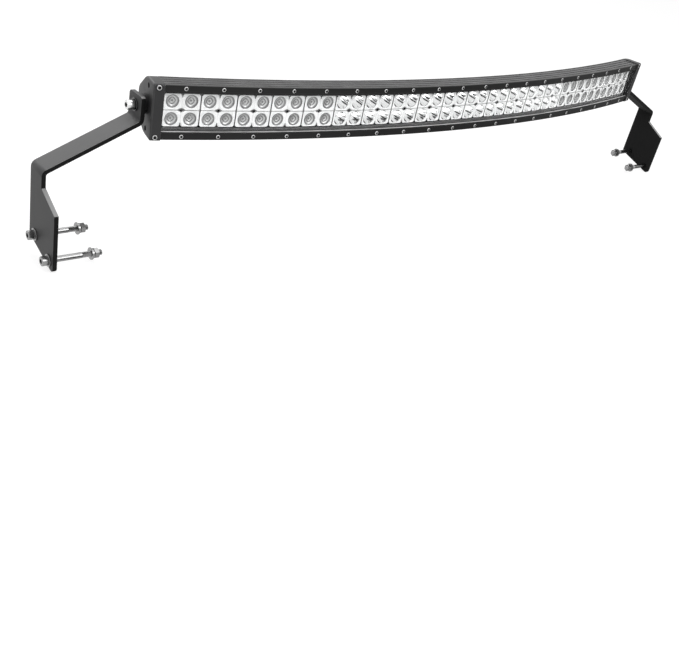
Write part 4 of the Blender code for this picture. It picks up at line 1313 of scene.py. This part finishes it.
def add_brackets():
    """The two bent strips, mirror images, with softened edges."""
    bracket = carve(bent_strip(), strip_blank(), "INTERSECT")
    bracket = carve(bracket, along_x(TAB_INNER - CUT_MARGIN, TAB_OUTER + CUT_MARGIN, HOLE_RADIUS))
    for y, z in MOUNT_HOLES.values():
        hole = along_x(PLATE_INNER - CUT_MARGIN, PLATE_OUTER + CUT_MARGIN, HOLE_RADIUS)
        bracket = carve(bracket, moved(hole, Matrix.Translation((0, y, z))))
    bracket = softened(bracket, lambda middle: STRIP_EDGE_ROUND, segments=3)
    # Face marks for painted light: rim takes the front and rear edges and the faces turned inwards, for
    # painted shade; the next mark takes the up-facing front faces, for a painted highlight.
    rim = bracket.attributes.new("rim", "FLOAT", "FACE")
    highlit_ledge = bracket.attributes.new("highlit_ledge", "FLOAT", "FACE")
    for face in bracket.polygons:
        rim.data[face.index].value = float(abs(face.normal.y) > 0.3 or face.normal.x < -0.3)
        highlit_ledge.data[face.index].value = float(face.normal.y < -0.3 and face.normal.z > 0.6)
    bracket = flats_kept(smooth(bracket, 30), LARGE_FLAT)
    for name, mesh in (("right", bracket), ("left", mirrored(bracket))):
        piece(f"strip_bracket_{name}", mesh, POWDER_COAT, "brackets", "black_powder_coat", f"bracket_{name}")


def bolt_mesh(length, threaded):
    """A socket-head bolt: knurled head above local Z = 0, threaded shank below."""
    bevel = 0.5 * MM

    def shape(radius, angle, height, span):
        if span == "knurl":
            ridge = round(angle * BOLT_AROUND / (2 * math.pi)) % 2
            return radius - KNURL_DEPTH * ridge
        if span == "thread":
            turn = (height / THREAD_PITCH - angle / (2 * math.pi)) % 1.0
            return radius - THREAD_DEPTH * abs(2 * turn - 1)
        return radius
    profile = [(0, HEAD_HEIGHT, ""), (HEAD_RADIUS - 2 * bevel, HEAD_HEIGHT, ""),
               (HEAD_RADIUS - 0.4 * bevel, HEAD_HEIGHT - 0.6 * bevel, ""),
               (HEAD_RADIUS, HEAD_HEIGHT - 2 * bevel, "knurl"), (HEAD_RADIUS, bevel, "knurl"),
               (HEAD_RADIUS - 0.4 * bevel, 0, ""), (BOLT_RADIUS, 0, "")]
    thread_top = threaded - length
    if thread_top < -bevel:
        profile.append((BOLT_RADIUS, thread_top, ""))
    rings = int(threaded / THREAD_PITCH * 4)
    for ring in range(1, rings):
        profile.append((BOLT_RADIUS, thread_top - threaded * ring / rings, "thread"))
    profile += [(BOLT_RADIUS - 1.6 * bevel, -length, ""), (0, -length, "")]
    bolt = turned(profile, radius_at=shape)
    socket = turned([(0, HEAD_HEIGHT + 1 * MM, "recess"), (SOCKET_RADIUS, HEAD_HEIGHT + 1 * MM, "recess"),
                     (SOCKET_RADIUS, HEAD_HEIGHT - SOCKET_DEPTH, "recess"),
                     (0, HEAD_HEIGHT - SOCKET_DEPTH - 1 * MM, "recess")], 6)
    return smooth(carve(bolt, socket), 30)


def washer_mesh():
    """A flat washer with broken edges."""
    edge = 0.2 * MM
    inner = WASHER_RADIUS - edge
    return smooth(turned([(inner, WASHER_THICKNESS, ""), (WASHER_RADIUS, WASHER_THICKNESS - edge, ""),
                          (WASHER_RADIUS, edge, ""), (inner, 0, ""), (FASTENER_BORE, 0, ""),
                          (FASTENER_BORE, WASHER_THICKNESS, "")], closed=True))


def spring_washer_mesh():
    """A split ring whose ends stand slightly apart."""
    turns = 44
    share = 0.965
    twist = 0.35 * MM
    height = SPRING_THICKNESS - twist

    def build(bm):
        rings = []
        for step in range(turns + 1):
            angle = 2 * math.pi * (share * step / turns + (1 - share) / 2)
            low = twist * step / turns
            corners = ((FASTENER_BORE, low), (SPRING_RADIUS, low), (SPRING_RADIUS, low + height),
                       (FASTENER_BORE, low + height))
            rings.append([bm.verts.new((r * math.cos(angle), r * math.sin(angle), z)) for r, z in corners])
        for here, after in zip(rings, rings[1:]):
            for index in range(4):
                following = (index + 1) % 4
                bm.faces.new((here[index], here[following], after[following], after[index]))
        bm.faces.new(rings[0])
        bm.faces.new(rings[-1])
    return smooth(softened(mesh_from("spring", build), lambda middle: 0.18 * MM, segments=1))


def nut_mesh():
    """A hexagon nut with chamfered corners and a countersunk bore."""
    chamfer = 0.9 * MM
    corner = NUT_RADIUS
    blank = turned([(0, NUT_HEIGHT, ""), (corner - 1.3 * MM, NUT_HEIGHT, ""),
                    (corner + 0.1 * MM, NUT_HEIGHT - chamfer, ""), (corner + 0.1 * MM, chamfer, ""),
                    (corner - 1.3 * MM, 0, ""), (0, 0, "")])
    nut = carve(six_sided(corner, 0, NUT_HEIGHT), blank, "INTERSECT")
    flare = FASTENER_BORE + 0.7 * MM
    bore = turned([(0, NUT_HEIGHT + 1 * MM, ""), (flare, NUT_HEIGHT + 0.01 * MM, ""),
                   (FASTENER_BORE, NUT_HEIGHT - 0.7 * MM, ""), (FASTENER_BORE, 0.7 * MM, ""),
                   (flare, -0.01 * MM, ""), (0, -1 * MM, "")])
    return smooth(carve(nut, bore), 25)


def add_fasteners():
    """Every bolt, washer and nut, on the places of the nodes that they stand for."""
    shapes = {
        "pivot_washer": washer_mesh(), "pivot_spring_washer": spring_washer_mesh(),
        "pivot_bolt": bolt_mesh(PIVOT_BOLT_LENGTH, PIVOT_BOLT_LENGTH - 1 * MM),
        "mount_head_washer": washer_mesh(), "mount_bolt": bolt_mesh(MOUNT_BOLT_LENGTH, THREAD_LENGTH),
        "mount_tube_washer": washer_mesh(), "mount_spring_washer": spring_washer_mesh(),
        "mount_nut": nut_mesh(),
    }
    head_reach = WASHER_THICKNESS + 2 * FIT_GAP
    nut_start = (PLATE_INNER - CLAMPED_TUBE - WASHER_THICKNESS - SPRING_THICKNESS - NUT_HEIGHT - 2 * FIT_GAP)
    starts = {
        "pivot_washer": TAB_OUTER + FIT_GAP, "pivot_spring_washer": TAB_OUTER + head_reach,
        "pivot_bolt": TAB_OUTER + head_reach + SPRING_THICKNESS + FIT_GAP,
        "mount_head_washer": PLATE_OUTER + FIT_GAP, "mount_bolt": PLATE_OUTER + head_reach,
        "mount_nut": nut_start, "mount_spring_washer": nut_start + NUT_HEIGHT + FIT_GAP,
        "mount_tube_washer": nut_start + NUT_HEIGHT + SPRING_THICKNESS + 2 * FIT_GAP,
    }
    finishes = {"pivot_bolt": BRIGHT_STEEL, "pivot_washer": DARK_STEEL, "pivot_spring_washer": DARK_STEEL}
    for kind, mesh in shapes.items():
        body = "bar" if kind.startswith("pivot") else "brackets"
        spots = {"": (0, 0)} if body == "bar" else {f"_{name}": spot for name, spot in MOUNT_HOLES.items()}
        places, nodes = [], []
        for name, side in SIDES.items():
            for label, (y, z) in spots.items():
                places.append((PIVOT + Vector((side * starts[kind], y, z)), (0, side * math.pi / 2, 0)))
                nodes.append(f"{kind}_{name}{label}")
        steel = finishes.get(kind, ZINC_STEEL)
        piece(f"{kind}s", at_places(mesh, steel, places), steel, body, "zinc_steel", *nodes)


# Stage, light and camera

FLOOR_DROP = 0.5 * MM
FLOOR_SIZE = 14.0
FLOOR_SHADE = 0.3
FLOOR_LIFT = 0.82
ROOM_ABOVE = 0.6
ROOM_BELOW = 0.12
# studio cards seen by mirrors: azimuth, elevation, half width, half height in degrees, and shade
CARDS = {
    "dark board": (45, -16, 15, 17, 0.0),
    "overhead frame": (67, 14, 9, 8, 0.2),
    "shaded side": (94, -32, 28, 37, 0.3),
    "grey ceiling": (15, 24, 45, 20, 0.75),
}
CAMERA_FROM_PIVOT = Vector((-1.108857, -1.026697, 0.428412))
CAMERA_RIGHT = Vector((0.77258666, -0.60479591, 0.19321429))
CAMERA_DOWN = Vector((-0.19646274, -0.51710836, -0.83306742))
CAMERA_FORWARD = Vector((0.60374849, 0.60565737, -0.51833089))
SENSOR_WIDTH = 36.0
FOCAL_PIXELS = 917.608
PICTURE_WIDTH = 679


def mirrored_ray(tree):
    """1 for rays off gloss or through glass."""
    path = add_node(tree, "ShaderNodeLightPath").outputs
    return calculate(tree, "MAXIMUM", path["Is Glossy Ray"], path["Is Transmission Ray"])


def add_floor():
    """A plain pale floor that keeps the object's shadow; mirrors look past it to the studio round it."""
    material, tree, shader = new_material("pale floor")
    grain = use_group(tree, GRAIN, grain_size=3.0, cloud_size=400.0)
    light = FLOOR_SHADE * 1.02
    feed(tree, shader, base_color=mix_colours(tree, grain["Cloud"], grey(FLOOR_SHADE), grey(light)))
    shader.inputs["Roughness"].default_value = 0.9
    shader.inputs["Specular IOR Level"].default_value = 0.0
    path = add_node(tree, "ShaderNodeLightPath").outputs
    glow = add_node(tree, "ShaderNodeEmission")
    tree.links.new(calculate(tree, "MULTIPLY", path["Is Camera Ray"], FLOOR_LIFT), glow.inputs["Strength"])
    both = add_node(tree, "ShaderNodeAddShader")
    tree.links.new(shader.outputs[0], both.inputs[0])
    tree.links.new(glow.outputs[0], both.inputs[1])
    clear = add_node(tree, "ShaderNodeBsdfTransparent")
    mixed_surface(tree, mirrored_ray(tree), both, clear)
    bm = bmesh.new()
    level = CAD_BOX[0].z - FLOOR_DROP
    bmesh.ops.create_grid(bm, x_segments=8, y_segments=8, size=FLOOR_SIZE / 2,
                          matrix=Matrix.Translation((0, 0, level)))
    mesh = finished("floor", bm)
    mesh.materials.append(material)
    linked("floor", mesh)


def off_by(tree, value, middle, half):
    """How far a value lies from a middle, in halves of the span."""
    distance = calculate(tree, "ABSOLUTE", calculate(tree, "SUBTRACT", value, math.radians(middle)))
    return calculate(tree, "DIVIDE", distance, math.radians(half))


def card_shade(tree, azimuth, rise, card):
    """One on all sides of a card, and the card's shade on it, with a soft border."""
    middle, height, half_width, half_height, shade = card
    aside = calculate(tree, "MAXIMUM", off_by(tree, azimuth, middle, half_width),
                      off_by(tree, rise, height, half_height))
    border = add_node(tree, "ShaderNodeMapRange", {"From Min": 0.9, "From Max": 1.1, "To Min": shade})
    tree.links.new(aside, border.inputs["Value"])
    return border.outputs[0]


def add_world():
    """A soft room, brighter above; mirrors see it white, with a few cards."""
    world = bpy.data.worlds.new("studio")
    bpy.context.scene.world = world
    world.use_nodes = True
    tree = world.node_tree
    split = add_node(tree, "ShaderNodeSeparateXYZ")
    tree.links.new(add_node(tree, "ShaderNodeTexCoord").outputs["Generated"], split.inputs[0])
    x, y, z = split.outputs
    rise = calculate(tree, "ARCSINE", z)
    azimuth = calculate(tree, "ARCTAN2", x, calculate(tree, "MULTIPLY", y, -1.0))
    room = add_node(tree, "ShaderNodeMapRange", {"From Min": 0.0, "From Max": 1.0, "To Min": ROOM_BELOW,
                                                 "To Max": ROOM_ABOVE})
    tree.links.new(rise, room.inputs["Value"])
    mirror = 1.0
    for card in CARDS.values():
        mirror = calculate(tree, "MULTIPLY", card_shade(tree, azimuth, rise, card), mirror)
    strength = add_node(tree, "ShaderNodeMix", data_type="FLOAT")
    tree.links.new(mirrored_ray(tree), strength.inputs["Factor"])
    tree.links.new(room.outputs[0], strength.inputs["A"])
    tree.links.new(mirror, strength.inputs["B"])
    backdrop = add_node(tree, "ShaderNodeMix", {"B": 1.0}, data_type="FLOAT")
    tree.links.new(add_node(tree, "ShaderNodeLightPath").outputs["Is Camera Ray"], backdrop.inputs["Factor"])
    tree.links.new(strength.outputs["Result"], backdrop.inputs["A"])
    tree.links.new(backdrop.outputs["Result"], tree.nodes["Background"].inputs["Strength"])
    tree.nodes["Background"].inputs["Color"].default_value = (1.0, 1.0, 1.0, 1.0)


def add_softbox(name, place, aim, size, power):
    """A square soft light aimed at a point."""
    light = bpy.data.lights.new(name, "AREA")
    light.shape = "SQUARE"
    light.size = size
    light.energy = power
    lamp = linked(name, light)
    lamp.location = place
    lamp.rotation_euler = (Vector(aim) - Vector(place)).to_track_quat("-Z", "Y").to_euler()


def add_camera():
    """The photograph's viewing angle."""
    data = bpy.data.cameras.new("camera")
    data.sensor_width = SENSOR_WIDTH
    data.lens = FOCAL_PIXELS * SENSOR_WIDTH / PICTURE_WIDTH
    data.clip_start = 0.01
    camera = linked("camera", data)
    camera.matrix_world = axes(CAMERA_RIGHT, -CAMERA_DOWN, -CAMERA_FORWARD, PIVOT + CAMERA_FROM_PIVOT)
    bpy.context.scene.camera = camera


add_housing()
add_bezels()
add_lens()
add_reflectors()
add_light_boards()
add_bar_screws()
add_caps()
add_fittings()
add_brackets()
add_fasteners()
add_floor()
add_world()
add_softbox("top_softbox", (-0.2, 0.3, 1.9), (0, 0, 0.1), 1.8, 18)
add_softbox("back_softbox", (-0.6, 1.5, 1.15), (-0.3, 0, 0.1), 1.1, 10)
add_softbox("front_softbox", (0.3, -1.7, 1.5), (0, 0, 0.15), 1.2, 19)
add_camera()
bpy.context.scene.view_settings.view_transform = "Standard"
